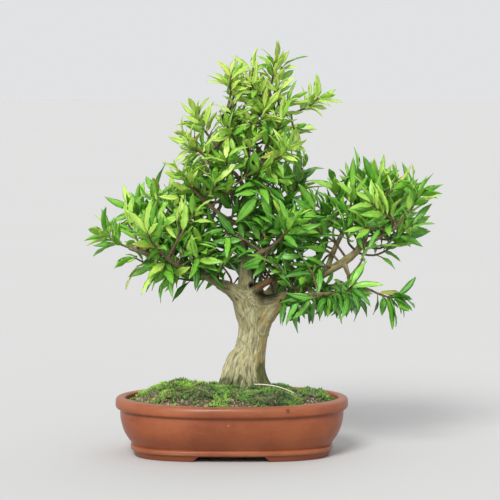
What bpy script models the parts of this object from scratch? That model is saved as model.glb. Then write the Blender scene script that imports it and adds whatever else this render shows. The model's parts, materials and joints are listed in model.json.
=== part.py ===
"""Pomegranate bonsai in its oval clay pot. Metres, +Z up, standing on z = 0, seen from -Y."""
import bmesh
import bpy
import math
import random
from itertools import product
from mathutils import Vector
from mathutils.bvhtree import BVHTree

# Fit
GAP = 0.00035              # clearance between solids that touch
SEED = 1304

# Pot: half sizes of the lip's outline, then the wall's section as (inset from it, height)
LIP_HALF_X = 0.135
LIP_HALF_Y = 0.098
OVAL_SIDES = 32
POT_SECTION = ((0.0040, 0.0650), (0.0005, 0.0620), (0.0005, 0.0550), (0.0055, 0.0515), (0.0060, 0.0400),
               (0.0100, 0.0260), (0.0205, 0.0125), (0.0185, 0.0110), (0.0188, 0.0068), (0.0215, 0.0060),
               (0.0230, 0.0000), (0.0350, 0.0000), (0.0350, 0.0080), (0.0300, 0.0150), (0.0200, 0.0260),
               (0.0140, 0.0420), (0.0126, 0.0550), (0.0115, 0.0650))
SOIL_SIDE = (13, 17)       # the points of the section that face the soil
FULL_TO = 0.0125           # from the lip down to here the outline's corners fill out
FULL_CORNERS = 1.0         # how much: 0 keeps the lip's ellipse
FLOOR_BOTTOM = 0.0092
FLOOR_TOP = 0.0145
FLOOR_INSET = 0.0280       # the floor plate ends inside the wall
FOOT_CUT_X = 0.043         # half width of the cut in the foot ring, front and back
FOOT_CUT_Y = 0.020         # the same at the two ends
FOOT_CUT_HEIGHT = 0.0060
DRAIN_X = 0.055            # the two drain holes stand at plus and minus this
DRAIN_RADIUS = 0.009
MESH_HALF = 0.013          # drain mesh: half its side, its strands and their thickness
MESH_HOLES = 3             # holes along each side of a drain mesh
STRAND = 0.0018
MESH_THICK = 0.0012

# Soil: height at the wall, and how far the mound rises above that
SOIL_EDGE = 0.0570
SOIL_MOUND = 0.0175
SOIL_RINGS = (0.95, 0.68, 0.36)

# Moss cushions: name, centre x, centre y, half width, half depth, thickness
MOSS = (("moss_left", -0.070, 0.024, 0.039, 0.025, 0.0095),
        ("moss_front_left", -0.030, -0.037, 0.026, 0.019, 0.0060),
        ("moss_front_right", 0.046, -0.045, 0.036, 0.0185, 0.0065),
        ("moss_right", 0.096, 0.004, 0.017, 0.022, 0.0060),
        ("moss_back", 0.034, 0.066, 0.034, 0.011, 0.0055))

MOSS_SUNK = 0.0030         # how far a cushion reaches into the soil's surface before it is cut

# Dry grass blade: points along it as (x, y, height above the soil), its width and thickness
GRASS = ((0.026, -0.0225, 0.0007), (0.036, -0.0225, 0.0050), (0.048, -0.0240, 0.0062),
         (0.060, -0.0265, 0.0040), (0.071, -0.0275, 0.0007))
GRASS_WIDTH = 0.0022
GRASS_THICK = 0.0007

# Trunk: sections from the buried root base up as (x, y, z, radius, depth of the flutes)
TRUNK = ((0.018, 0.018, 0.038, 0.0190, 0.02), (0.018, 0.018, 0.052, 0.0270, 0.08),
         (0.017, 0.017, 0.072, 0.0285, 0.16), (0.0155, 0.018, 0.084, 0.0250, 0.14),
         (0.0155, 0.018, 0.098, 0.0225, 0.12), (0.0215, 0.018, 0.117, 0.0178, 0.08),
         (0.0260, 0.018, 0.142, 0.0172, 0.07), (0.0245, 0.018, 0.160, 0.0196, 0.07),
         (0.0225, 0.018, 0.176, 0.0200, 0.06), (0.020, 0.018, 0.187, 0.0140, 0.03))
TRUNK_SIDES = 14
TRUNK_DEPTH = 0.88         # the trunk is a little flatter from front to back

# Limbs: points along each as (x, y, z, radius), from inside what it grows from to its tip
LIMBS = {
    "leader": ((0.019, 0.018, 0.172, 0.0120), (0.015, 0.015, 0.211, 0.0078), (0.013, 0.012, 0.240, 0.0064),
               (0.011, 0.014, 0.275, 0.0056), (0.007, 0.016, 0.290, 0.0048)),
    "upper_left": ((0.008, 0.016, 0.284, 0.0040), (-0.002, 0.009, 0.308, 0.0029), (-0.007, 0.004, 0.334, 0.0026),
                   (-0.016, 0.008, 0.352, 0.0021), (-0.025, 0.009, 0.364, 0.0016)),
    "apex": ((0.009, 0.015, 0.282, 0.0042), (0.018, 0.020, 0.307, 0.0034), (0.018, 0.022, 0.355, 0.0030),
             (0.028, 0.020, 0.387, 0.0025), (0.041, 0.014, 0.404, 0.0021), (0.044, 0.010, 0.420, 0.0015)),
    "apex_left": ((0.018, 0.021, 0.369, 0.0028), (0.006, 0.010, 0.385, 0.0022), (-0.004, 0.000, 0.396, 0.0018),
                  (-0.003, -0.004, 0.406, 0.0014)),
    "apex_right": ((0.022, 0.022, 0.372, 0.0024), (0.040, 0.030, 0.380, 0.0019), (0.060, 0.034, 0.388, 0.0015),
                   (0.074, 0.031, 0.393, 0.0013)),
    "upper_right": ((0.018, 0.020, 0.318, 0.0026), (0.032, 0.004, 0.330, 0.0020), (0.045, -0.011, 0.338, 0.0015)),
    "upper_back": ((0.017, 0.021, 0.300, 0.0030), (0.006, 0.046, 0.318, 0.0022), (-0.008, 0.066, 0.330, 0.0016)),
    "left": ((0.012, 0.015, 0.178, 0.0080), (-0.007, 0.008, 0.190, 0.0052), (-0.028, 0.000, 0.203, 0.0044),
             (-0.045, -0.006, 0.212, 0.0038), (-0.071, -0.014, 0.222, 0.0034), (-0.103, -0.016, 0.234, 0.0030),
             (-0.118, -0.014, 0.239, 0.0024)),
    "left_up": ((-0.030, -0.001, 0.203, 0.0034), (-0.040, 0.006, 0.221, 0.0029), (-0.054, 0.014, 0.248, 0.0024),
                (-0.072, 0.020, 0.262, 0.0019), (-0.090, 0.022, 0.268, 0.0015)),
    "left_front": ((-0.044, -0.006, 0.211, 0.0030), (-0.055, -0.025, 0.214, 0.0024), (-0.068, -0.045, 0.225, 0.0019),
                   (-0.080, -0.060, 0.238, 0.0014)),
    "left_back": ((-0.046, 0.010, 0.234, 0.0026), (-0.048, 0.034, 0.244, 0.0022), (-0.058, 0.058, 0.256, 0.0017),
                  (-0.066, 0.076, 0.268, 0.0013)),
    "mid_left": ((0.014, 0.014, 0.262, 0.0032), (-0.004, 0.002, 0.270, 0.0026), (-0.022, -0.010, 0.284, 0.0021),
                 (-0.038, -0.018, 0.300, 0.0015)),
    "right": ((0.032, 0.018, 0.170, 0.0105), (0.052, 0.012, 0.175, 0.0088), (0.072, 0.002, 0.184, 0.0068),
              (0.089, -0.004, 0.197, 0.0058), (0.107, -0.008, 0.209, 0.0052), (0.127, -0.008, 0.221, 0.0048),
              (0.142, -0.004, 0.232, 0.0044), (0.154, 0.000, 0.249, 0.0034), (0.155, 0.004, 0.267, 0.0026),
              (0.162, 0.006, 0.288, 0.0018)),
    "right_mid": ((0.109, -0.007, 0.212, 0.0034), (0.120, 0.010, 0.238, 0.0028), (0.133, 0.024, 0.262, 0.0023),
                  (0.138, 0.030, 0.282, 0.0017)),
    "right_twig": ((0.129, -0.009, 0.222, 0.0030), (0.136, -0.018, 0.204, 0.0022), (0.146, -0.021, 0.196, 0.0018),
                   (0.161, -0.024, 0.190, 0.0014)),
    "right_out": ((0.145, -0.004, 0.236, 0.0030), (0.166, -0.015, 0.249, 0.0023), (0.186, -0.022, 0.262, 0.0017),
                  (0.198, -0.024, 0.276, 0.0013)),
    "right_back": ((0.134, 0.025, 0.264, 0.0024), (0.152, 0.046, 0.270, 0.0019), (0.172, 0.060, 0.280, 0.0014)),
    "centre_back": ((0.034, 0.022, 0.172, 0.0070), (0.050, 0.036, 0.192, 0.0050), (0.056, 0.048, 0.230, 0.0038),
                    (0.057, 0.055, 0.258, 0.0028), (0.066, 0.062, 0.282, 0.0018)),
    "centre_right": ((0.056, 0.050, 0.236, 0.0030), (0.074, 0.044, 0.246, 0.0024), (0.092, 0.034, 0.256, 0.0017)),
    "centre_front": ((0.015, 0.014, 0.222, 0.0036), (0.028, -0.006, 0.230, 0.0030), (0.044, -0.026, 0.240, 0.0023),
                     (0.056, -0.042, 0.252, 0.0015)),
    "front_low": ((0.064, 0.005, 0.181, 0.0038), (0.078, -0.022, 0.184, 0.0028), (0.096, -0.042, 0.188, 0.0021),
                  (0.112, -0.054, 0.190, 0.0014)),
    "pruned_stub": ((0.026, 0.010, 0.184, 0.0046), (0.033, -0.002, 0.193, 0.0042), (0.045, -0.012, 0.202, 0.0038)),
    "bare_stub": ((-0.011, 0.005, 0.346, 0.0020), (-0.022, -0.010, 0.324, 0.0018), (-0.037, -0.020, 0.344, 0.0016)),
}
BARE_LIMBS = ("pruned_stub", "bare_stub", "leader")

# Shoots beside those at the limbs' tips: name of the leaf mass, its centre, its half sizes, their number
SHOOTS = (("apex", (0.022, 0.012, 0.412), (0.030, 0.034, 0.022), 3),
          ("upper_left", (-0.036, 0.010, 0.360), (0.016, 0.030, 0.016), 1),
          ("upper", (0.022, 0.010, 0.354), (0.040, 0.054, 0.030), 4),
          ("shoulder", (-0.024, 0.020, 0.316), (0.030, 0.052, 0.016), 2),
          ("left_top", (-0.084, 0.010, 0.276), (0.040, 0.050, 0.012), 2),
          ("left", (-0.068, 0.006, 0.250), (0.046, 0.062, 0.016), 4),
          ("left_low", (-0.058, -0.012, 0.222), (0.038, 0.044, 0.010), 2),
          ("centre", (0.046, 0.012, 0.266), (0.034, 0.064, 0.020), 3),
          ("centre_low", (0.048, -0.002, 0.224), (0.032, 0.054, 0.014), 2),
          ("right_top", (0.156, 0.014, 0.296), (0.042, 0.050, 0.014), 2),
          ("right", (0.160, 0.010, 0.262), (0.042, 0.054, 0.018), 3),
          ("low", (0.092, -0.020, 0.184), (0.036, 0.040, 0.010), 2))
TIP_REACH = 0.032          # length of the shoot at each limb's tip
DROOP_FROM = 0.270         # leaves below this height hang, the more the lower
DROOP_SPAN = 0.090
SHOOT_LENGTH = (0.030, 0.060)
TWIG_BASE = 0.0015
TWIG_TIP = 0.0010
LEAF_STATIONS = (0.36, 0.55, 0.75, 0.92, 0.985)
TIP_STATION = 0.98         # a leaf past this share of its shoot ends it
LEAF_LENGTH = (0.023, 0.032)
LEAF_SHARE = 0.30          # width of a leaf as a share of its length
LEAF_THICK = 0.0012
LEAF_TRIES = 10
AXIS_X = 0.020             # the crown's middle, which the leaves face away from
AXIS_Y = 0.015
CLEAR = 0.0005             # extra room kept round a leaf or twig

# Colours: base colour, roughness
CLAY = ((0.290, 0.093, 0.045), 0.55)
EARTH = ((0.070, 0.048, 0.030), 0.95)
MOSS_GREEN = ((0.090, 0.220, 0.030), 0.90)
BARK = ((0.330, 0.280, 0.170), 0.85)
LEAF_GREEN = ((0.110, 0.300, 0.035), 0.45)
STRAW = ((0.620, 0.550, 0.330), 0.70)
PLASTIC = ((0.020, 0.020, 0.022), 0.60)


def clear_scene():
    for item in list(bpy.data.objects):
        bpy.data.objects.remove(item, do_unlink=True)


def material(name, finish):
    made = bpy.data.materials.new(name)
    made.use_nodes = True
    shader = made.node_tree.nodes["Principled BSDF"]
    colour, roughness = finish
    shader.inputs["Base Color"].default_value = (*colour, 1.0)
    shader.inputs["Roughness"].default_value = roughness
    shader.inputs["Metallic"].default_value = 0.0
    return made


def link(name, mesh, finish, group):
    made = bpy.data.objects.new(name, mesh)
    mesh.materials.clear()
    if finish:
        mesh.materials.append(material(name, finish))
    group.objects.link(made)
    return made


def mesh_of(name, verts, faces):
    mesh = bpy.data.meshes.new(name)
    mesh.from_pydata([tuple(v) for v in verts], [], faces)
    mesh.update()
    return mesh


def curve_mesh(name, curve):
    """The evaluated mesh of a curve, with its caps welded on."""
    holder = bpy.data.objects.new(name, curve)
    bpy.context.scene.collection.objects.link(holder)
    bpy.context.view_layer.update()
    evaluated = holder.evaluated_get(bpy.context.evaluated_depsgraph_get())
    mesh = bpy.data.meshes.new_from_object(evaluated)
    bpy.data.objects.remove(holder, do_unlink=True)
    work = bmesh.new()
    work.from_mesh(mesh)
    bmesh.ops.remove_doubles(work, verts=work.verts, dist=0.00002)
    bmesh.ops.recalc_face_normals(work, faces=work.faces)
    work.to_mesh(mesh)
    work.free()
    mesh.name = name
    return mesh


def tube_mesh(name, points, resolution):
    """A limb or twig: a bevelled curve through (place, radius) points."""
    curve = bpy.data.curves.new(name, "CURVE")
    curve.dimensions = "3D"
    curve.bevel_depth = 1.0
    curve.bevel_resolution = resolution
    curve.use_fill_caps = True
    spline = curve.splines.new("POLY")
    spline.points.add(len(points) - 1)
    for slot, (place, radius) in zip(spline.points, points):
        slot.co = (*place, 1.0)
        slot.radius = radius
    return curve_mesh(name, curve)


def apply_modifiers(thing):
    bpy.context.view_layer.update()
    evaluated = thing.evaluated_get(bpy.context.evaluated_depsgraph_get())
    mesh = bpy.data.meshes.new_from_object(evaluated)
    thing.modifiers.clear()
    thing.data = mesh


def join_repeats(thing, meshes, solver="EXACT"):
    """Fuse meshes to a thing by one union on a collection, then remove them."""
    repeats = bpy.data.collections.new(thing.name + "_repeats")
    bpy.context.scene.collection.children.link(repeats)
    for number, mesh in enumerate(meshes):
        link(f"{thing.name}_repeat_{number}", mesh, None, repeats)
    union = thing.modifiers.new("join", "BOOLEAN")
    union.operation = "UNION"
    union.operand_type = "COLLECTION"
    union.collection = repeats
    union.solver = solver
    apply_modifiers(thing)
    for item in list(repeats.objects):
        bpy.data.objects.remove(item, do_unlink=True)
    bpy.data.collections.remove(repeats)


def cut(thing, cutter):
    cutter.hide_render = True
    cutter.display_type = "WIRE"
    difference = thing.modifiers.new("cut_" + cutter.name, "BOOLEAN")
    difference.operation = "DIFFERENCE"
    difference.object = cutter


def box_cutter(name, low, high, group):
    """A box given by its lowest and highest corners."""
    bpy.ops.mesh.primitive_cube_add(size=1.0)
    box = bpy.context.active_object
    box.name = name
    for vert in box.data.vertices:
        for axis in range(3):
            vert.co[axis] = low[axis] if vert.co[axis] < 0 else high[axis]
    box.users_collection[0].objects.unlink(box)
    group.objects.link(box)
    return box


def oval_point(angle, inset, z):
    """A point of the pot's outline at a height: an ellipse at the lip, with fuller corners lower down."""
    x = LIP_HALF_X * math.cos(angle)
    y = LIP_HALF_Y * math.sin(angle)
    across = Vector((x / LIP_HALF_X ** 2, y / LIP_HALF_Y ** 2)).normalized()
    lip = POT_SECTION[-1][1]
    power = 2 + FULL_CORNERS * min(1.0, max(0.0, (lip - z) / (lip - FULL_TO)))
    full = (abs(math.cos(angle)) ** power + abs(math.sin(angle)) ** power) ** (-1 / power)
    return (x - across.x * inset) * full, (y - across.y * inset) * full


def oval_angles():
    return [2 * math.pi * (k + 0.5) / OVAL_SIDES for k in range(OVAL_SIDES)]


def oval_plate(name, inset, low, high):
    """A flat oval plate between two heights."""
    curve = bpy.data.curves.new(name, "CURVE")
    curve.dimensions = "2D"
    curve.fill_mode = "BOTH"
    curve.extrude = (high - low) / 2
    spline = curve.splines.new("POLY")
    spline.points.add(OVAL_SIDES - 1)
    for slot, angle in zip(spline.points, oval_angles()):
        slot.co = (*oval_point(angle, inset, low), 0.0, 1.0)
    spline.use_cyclic_u = True
    mesh = curve_mesh(name, curve)
    for vert in mesh.vertices:
        vert.co.z += (low + high) / 2
    return mesh


def pot_wall():
    """The wall's section swept round the oval: lip, bulge, band, foot ring and inside."""
    verts = [(*oval_point(angle, inset, z), z) for angle in oval_angles() for inset, z in POT_SECTION]
    count = len(POT_SECTION)
    faces = []
    for k in range(OVAL_SIDES):
        here = k * count
        there = (k + 1) % OVAL_SIDES * count
        for i in range(count):
            j = (i + 1) % count
            faces.append((here + i, here + j, there + j, there + i))
    return mesh_of("pot", verts, faces)


def build_pot(parts, cutters):
    pot = link("pot", pot_wall(), CLAY, parts)
    floor = oval_plate("floor", FLOOR_INSET, FLOOR_BOTTOM, FLOOR_TOP)
    join_repeats(pot, [floor])
    far = LIP_HALF_X + 0.01
    front = box_cutter("foot_cut_front", (-FOOT_CUT_X, -far, -0.01), (FOOT_CUT_X, far, FOOT_CUT_HEIGHT), cutters)
    ends = box_cutter("foot_cut_ends", (-far, -FOOT_CUT_Y, -0.01), (far, FOOT_CUT_Y, FOOT_CUT_HEIGHT), cutters)
    cut(pot, front)
    cut(pot, ends)
    for number, side in enumerate((-1, 1)):
        bpy.ops.mesh.primitive_cylinder_add(vertices=12, radius=DRAIN_RADIUS, depth=0.03,
                                            location=(side * DRAIN_X, 0, FLOOR_TOP))
        hole = bpy.context.active_object
        hole.name = f"drain_hole_{number + 1}"
        hole.users_collection[0].objects.unlink(hole)
        cutters.objects.link(hole)
        cut(pot, hole)
    return pot


def build_drain_mesh(name, centre_x, parts):
    """A square of plastic lattice that lies over a drain hole: an outline with square holes."""
    curve = bpy.data.curves.new(name, "CURVE")
    curve.dimensions = "2D"
    curve.fill_mode = "BOTH"
    curve.extrude = MESH_THICK / 2
    pitch = (2 * MESH_HALF - STRAND) / MESH_HOLES
    squares = [(-MESH_HALF, -MESH_HALF, 2 * MESH_HALF)]
    for column, row in product(range(MESH_HOLES), repeat=2):
        squares.append((-MESH_HALF + STRAND + column * pitch, -MESH_HALF + STRAND + row * pitch, pitch - STRAND))
    for x, y, side in squares:
        spline = curve.splines.new("POLY")
        spline.points.add(3)
        for slot, (right, up) in zip(spline.points, ((0, 0), (1, 0), (1, 1), (0, 1))):
            slot.co = (x + right * side, y + up * side, 0.0, 1.0)
        spline.use_cyclic_u = True
    lattice = link(name, curve_mesh(name, curve), PLASTIC, parts)
    lattice.location = (centre_x, 0.0, FLOOR_TOP + GAP + MESH_THICK / 2)
    return lattice


def soil_height(x, y):
    """The mound's relief: highest round the trunk, with low uneven waves."""
    edge = (x / (LIP_HALF_X - 0.012)) ** 2 + (y / (LIP_HALF_Y - 0.012)) ** 2
    mound = SOIL_MOUND * max(0.0, 1 - edge)
    waves = 0.0012 * math.sin(x * 71 + 0.6) * math.cos(y * 83 + 1.1)
    return SOIL_EDGE + mound + waves


def build_soil(parts, cutters):
    side = [(inset + 1.5 * GAP, z) for inset, z in POT_SECTION[slice(*SOIL_SIDE)]]
    levels = [(side[0][0], FLOOR_TOP + GAP)] + side[1:]
    verts = [(*oval_point(angle, inset, z), z) for inset, z in levels for angle in oval_angles()]
    for share in SOIL_RINGS:
        for angle in oval_angles():
            x, y = (value * share for value in oval_point(angle, *levels[-1]))
            verts.append((x, y, soil_height(x, y)))
    rings = len(levels) + len(SOIL_RINGS)
    faces = [tuple(reversed(range(OVAL_SIDES)))]
    for ring in range(rings - 1):
        for k in range(OVAL_SIDES):
            j = (k + 1) % OVAL_SIDES
            a, b = ring * OVAL_SIDES, (ring + 1) * OVAL_SIDES
            faces += [(a + k, a + j, b + j), (a + k, b + j, b + k)]
    top = (rings - 1) * OVAL_SIDES
    verts.append((0.0, 0.0, soil_height(0.0, 0.0)))
    faces += [(top + k, top + (k + 1) % OVAL_SIDES, len(verts) - 1) for k in range(OVAL_SIDES)]
    soil = link("soil", mesh_of("soil", verts, faces), EARTH, parts)
    for number, side in enumerate((-1, 1)):
        half = MESH_HALF + GAP
        pocket = box_cutter(f"mesh_pocket_{number + 1}", (side * DRAIN_X - half, -half, 0.0),
                            (side * DRAIN_X + half, half, FLOOR_TOP + MESH_THICK + 2 * GAP), cutters)
        cut(soil, pocket)
    socket = link("root_socket", trunk_mesh("root_socket", GAP, 0.120), None, cutters)
    cut(soil, socket)
    return soil


def trunk_ring(section, grow):
    """One fluted section of the trunk, with its roots spreading where it is wide."""
    x, y, z, radius, flute = section
    ring = []
    for k in range(TRUNK_SIDES):
        angle = 2 * math.pi * k / TRUNK_SIDES
        wave = 0.6 * math.cos(4 * angle + 0.7) + 0.4 * math.cos(3 * angle + 2.4 + z * 6)
        reach = radius * (1 + flute * wave) + grow
        ring.append((x + reach * math.cos(angle), y + TRUNK_DEPTH * reach * math.sin(angle), z))
    return ring


def trunk_mesh(name, grow=0.0, top=1.0):
    """The lofted trunk, or a slightly larger copy of its foot that makes room for it in the soil."""
    verts, faces = trunk_shape(grow, top)
    return mesh_of(name, verts, faces)


def trunk_shape(grow=0.0, top=1.0):
    sections = [section for section in TRUNK if section[2] < top]
    verts = [point for section in sections for point in trunk_ring(section, grow)]
    if grow:
        verts = [(x, y, z - grow if z == sections[0][2] else z) for x, y, z in verts]
    faces = [tuple(reversed(range(TRUNK_SIDES)))]
    for ring in range(len(sections) - 1):
        for k in range(TRUNK_SIDES):
            j = (k + 1) % TRUNK_SIDES
            a, b = ring * TRUNK_SIDES, (ring + 1) * TRUNK_SIDES
            faces += [(a + k, a + j, b + j), (a + k, b + j, b + k)]
    last = (len(sections) - 1) * TRUNK_SIDES
    faces.append(tuple(last + k for k in range(TRUNK_SIDES)))
    return verts, faces


def build_trunk(parts):
    trunk = link("trunk_and_branches", trunk_mesh("trunk"), BARK, parts)
    limbs = []
    for name, points in LIMBS.items():
        thick = max(point[3] for point in points)
        line = [(Vector(point[:3]), point[3]) for point in points]
        limbs.append(tube_mesh(name, line, 2 if thick > 0.006 else 1))
    join_repeats(trunk, limbs)
    return trunk


def build_moss(name, x0, y0, half_x, half_y, thick, cover, parts):
    """A low cushion with a lumpy top and a thin edge, cut below by the soil's raised surface."""
    sides = 12
    shares = (1.0, 0.60)
    rim = 0.0012
    verts = []
    for top in (False, True):
        for share in shares:
            for k in range(sides):
                angle = 2 * math.pi * k / sides
                wobble = 1 + 0.07 * math.sin(3 * angle + x0 * 90)
                x = x0 + half_x * share * wobble * math.cos(angle)
                y = y0 + half_y * share * wobble * math.sin(angle)
                z = soil_top(x, y) + (GAP if top else -MOSS_SUNK)
                if top:
                    z += rim + (thick - rim) * (1 - share ** 2) * (1 + 0.22 * math.sin(5 * angle + y0 * 70))
                verts.append((x, y, z))
        x, y = x0, y0
        verts.append((x, y, soil_top(x, y) + (thick * 1.05 if top else -MOSS_SUNK)))
    half = len(verts) // 2
    faces = []
    for base, flip in ((0, True), (half, False)):
        for ring in range(len(shares)):
            for k in range(sides):
                j = (k + 1) % sides
                a, b = base + ring * sides, base + (ring + 1) * sides
                face = (a + k, a + j, b + j, b + k)
                if ring == len(shares) - 1:
                    face = (a + k, a + j, b)
                faces.append(tuple(reversed(face)) if flip else face)
    for k in range(sides):
        j = (k + 1) % sides
        faces.append((k, j, half + j, half + k))
    moss = link(name, mesh_of(name, verts, faces), MOSS_GREEN, parts)
    cut(moss, cover)
    return moss


def soil_top(x, y):
    """The height of the built soil, read from its facets a hair off any edge between them."""
    hit = SOIL_TREE[0].ray_cast(Vector((x + 0.000011, y + 0.000017, 0.2)), Vector((0, 0, -1)))
    return hit[0].z


SOIL_TREE = []


def soil_cover(soil, cutters):
    """A copy of the soil that stands a hair higher, to cut what lies on it."""
    evaluated = soil.evaluated_get(bpy.context.evaluated_depsgraph_get())
    cover = link("soil_cover", bpy.data.meshes.new_from_object(evaluated), None, cutters)
    for vert in cover.data.vertices:
        vert.co.z += GAP
    return cover


def build_grass(parts):
    verts = []
    for place, lift in ((Vector((x, y, soil_top(x, y) + up)), up) for x, y, up in GRASS):
        verts.append(place + Vector((0, -GRASS_WIDTH / 2, 0)))
        verts.append(place + Vector((0, GRASS_WIDTH / 2, 0)))
    faces = [(2 * k, 2 * k + 2, 2 * k + 3, 2 * k + 1) for k in range(len(GRASS) - 1)]
    blade = link("dry_blade", mesh_of("dry_blade", verts, faces), STRAW, parts)
    solid = blade.modifiers.new("thickness", "SOLIDIFY")
    solid.thickness = GRASS_THICK
    solid.offset = 1.0
    return blade


# Where the shoots and leaves go

CELL = 0.03


class Space:
    """The solids placed so far, found again by the cells of space that they touch."""

    def __init__(self):
        self.cells = {}

    def keys(self, verts):
        spans = []
        for axis in range(3):
            values = [vert[axis] for vert in verts]
            spans.append(range(math.floor(min(values) / CELL), math.floor(max(values) / CELL) + 1))
        return product(*spans)

    def add(self, owner, whole, free):
        item = (owner, BVHTree.FromPolygons(*whole), BVHTree.FromPolygons(*free))
        for key in self.keys(whole[0]):
            self.cells.setdefault(key, []).append(item)

    def clear(self, owner, whole, free):
        """True where the shape crosses nothing; its own shoot is tested away from the roots only."""
        tree, far = BVHTree.FromPolygons(*whole), BVHTree.FromPolygons(*free)
        seen = set()
        for key in self.keys(whole[0]):
            for item in self.cells.get(key, ()):
                if id(item) in seen or item[0] == "twig " + owner:
                    continue
                seen.add(id(item))
                own = item[0] in (owner, "limbs") if whole is not free else False
                if (far if own else tree).overlap(item[2] if own else item[1]):
                    return False
        return True


def tube_shape(points, sides, grow):
    """Rings round a line of (place, radius) points, as plain verts and faces."""
    verts = []
    for k, (place, radius) in enumerate(points):
        ahead = points[min(k + 1, len(points) - 1)][0] - points[max(k - 1, 0)][0]
        turn = ahead.to_track_quat("Z", "Y")
        for side in range(sides):
            angle = 2 * math.pi * side / sides
            spoke = Vector((math.cos(angle), math.sin(angle), 0)) * (radius + grow)
            verts.append(place + turn @ spoke)
    faces = []
    for ring in range(len(points) - 1):
        for k in range(sides):
            j = (k + 1) % sides
            a, b = ring * sides, (ring + 1) * sides
            faces.append((a + k, a + j, b + j, b + k))
    faces.append(tuple(reversed(range(sides))))
    last = (len(points) - 1) * sides
    faces.append(tuple(last + k for k in range(sides)))
    return verts, faces


def leaf_shape(leaf, grow=0.0, start=0.0):
    """A lance-shaped blade with a flat top and a keel below, as verts and faces."""
    base, forward, up, length, bend = leaf
    side = forward.cross(up).normalized()
    half = LEAF_SHARE * length / 2
    verts = []
    for along, width, depth in ((start, 0.0004, 0.0006), (0.56, half, LEAF_THICK)):
        middle = base + forward * (along * length) - up * (bend * length * along * abs(along))
        width += grow
        verts += [middle - side * width + up * grow, middle + side * width + up * grow,
                  middle - up * (depth + grow)]
    verts.append(base + forward * (length + grow) - up * (bend * length))
    faces = [(0, 2, 1)]
    for k in range(3):
        j = (k + 1) % 3
        faces += [(k, 3 + j, 3 + k), (k, j, 3 + j), (3 + k, 3 + j, 6)]
    return verts, faces


def spread_points(rng, centre, half, count):
    """Seeded points in an egg-shaped mass, each the furthest of some trials from those before."""
    points = []
    for _ in range(count):
        best = None
        for _ in range(14):
            ball = Vector([rng.uniform(-1, 1) for _ in range(3)])
            if ball.length > 1:
                ball.normalize()
            trial = Vector(centre) + Vector([b * h for b, h in zip(ball, half)])
            room = min([(trial - other).length for other in points] or [1.0])
            if best is None or room > best[0]:
                best = (room, trial)
        points.append(best[1])
    return points


def limb_seats():
    """Places along the limbs where a shoot may spring: (place, tangent, radius, whether at the tip)."""
    seats = []
    for name, points in LIMBS.items():
        if name in BARE_LIMBS:
            continue
        for k in range(len(points) - 1):
            start, end = Vector(points[k][:3]), Vector(points[k + 1][:3])
            tangent = (end - start).normalized()
            for step in range(4):
                share = step / 4 + 0.12
                if (k > 0 or share > 0.7) and (k < len(points) - 2 or share < 0.7):
                    radius = points[k][3] + (points[k + 1][3] - points[k][3]) * share
                    seats.append((start.lerp(end, share), tangent, radius, False))
    return seats


def seat_cost(seat, target, used):
    reach = target - seat[0]
    cost = abs(reach.length - SHOOT_LENGTH[0]) + 0.4 * max(0.0, seat[0].z - target.z)
    crowd = sum(1 for other in used if (other - seat[0]).length < 0.010)
    return cost + 0.03 * crowd


def twig_line(rng, seat, target):
    """A gently bent shoot from its seat to the target, as (place, radius) points."""
    place, tangent, radius, at_tip = seat
    reach = target - place
    out = reach - tangent * reach.dot(tangent)
    if at_tip:
        out = tangent.copy()
        start = place
    else:
        out = out.normalized() if out.length > 0.003 else tangent.orthogonal().normalized()
        start = place + out * radius
    length = max(SHOOT_LENGTH[0], min(SHOOT_LENGTH[1], (target - start).length))
    end = start + (target - start).normalized() * length
    first = start + out * length * 0.36
    second = end - (end - first).normalized() * length * 0.3 + Vector((0, 0, -0.004))
    points = []
    for k in range(4):
        u = k / 3
        at = start * (1 - u) ** 3 + first * (3 * u * (1 - u) ** 2) + second * (3 * u * u * (1 - u)) + end * u ** 3
        if 0 < k < 3:
            at += Vector([rng.uniform(-0.0012, 0.0012) for _ in range(3)])
        points.append((at, TWIG_BASE + (TWIG_TIP - TWIG_BASE) * u))
    return points, out


def along_line(points, share):
    """The place and direction at a share of a line's length, by its points."""
    span = share * (len(points) - 1)
    k = min(int(span), len(points) - 2)
    start, end = points[k][0], points[k + 1][0]
    return start.lerp(end, span - k), (end - start).normalized()


def leaf_trial(rng, points, station, side, turn, droop, spread):
    """One leaf on a shoot: opposite its twin, lifted to the light or hanging."""
    base, ahead = along_line(points, station)
    across = ahead.orthogonal().normalized()
    spoke = across * math.cos(turn) + ahead.cross(across) * math.sin(turn)
    lean = rng.uniform(0.65, 1.05) if station < TIP_STATION else rng.uniform(0.25, 0.8)
    lean += spread
    forward = ahead * math.cos(lean) + spoke * (side * math.sin(lean))
    forward += Vector((0, 0, 0.30 - 1.0 * droop)) + Vector([rng.uniform(-spread, spread) for _ in range(3)])
    forward.normalize()
    outward = Vector((base.x - AXIS_X, base.y - AXIS_Y, 0)).normalized()
    up = Vector((0, 0, 0.5)) + outward * 0.4 + Vector([rng.uniform(-0.8, 0.8) for _ in range(3)])
    up = (up - forward * up.dot(forward)).normalized()
    length = rng.uniform(*LEAF_LENGTH)
    return base, forward, up, length, rng.uniform(0.05, 0.22)


def shoot_plan():
    """What each shoot is called, the seeds it draws from, where it reaches and its own seat, if any."""
    plan = []
    for name, points in LIMBS.items():
        if name not in BARE_LIMBS:
            tip, before = Vector(points[-1][:3]), Vector(points[-2][:3])
            tangent = (tip - before).normalized()
            reach = (tangent + Vector((0, 0, 0.25))).normalized() * TIP_REACH
            plan.append((f"shoot_{name}_tip", tip + reach, (tip, tangent, points[-1][3], True)))
    for number, (mass, centre, half, count) in enumerate(SHOOTS):
        rng = random.Random(SEED + number)
        for k, target in enumerate(spread_points(rng, centre, half, count)):
            plan.append((f"shoot_{mass}_{k + 1}", target, None))
    return plan


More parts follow.
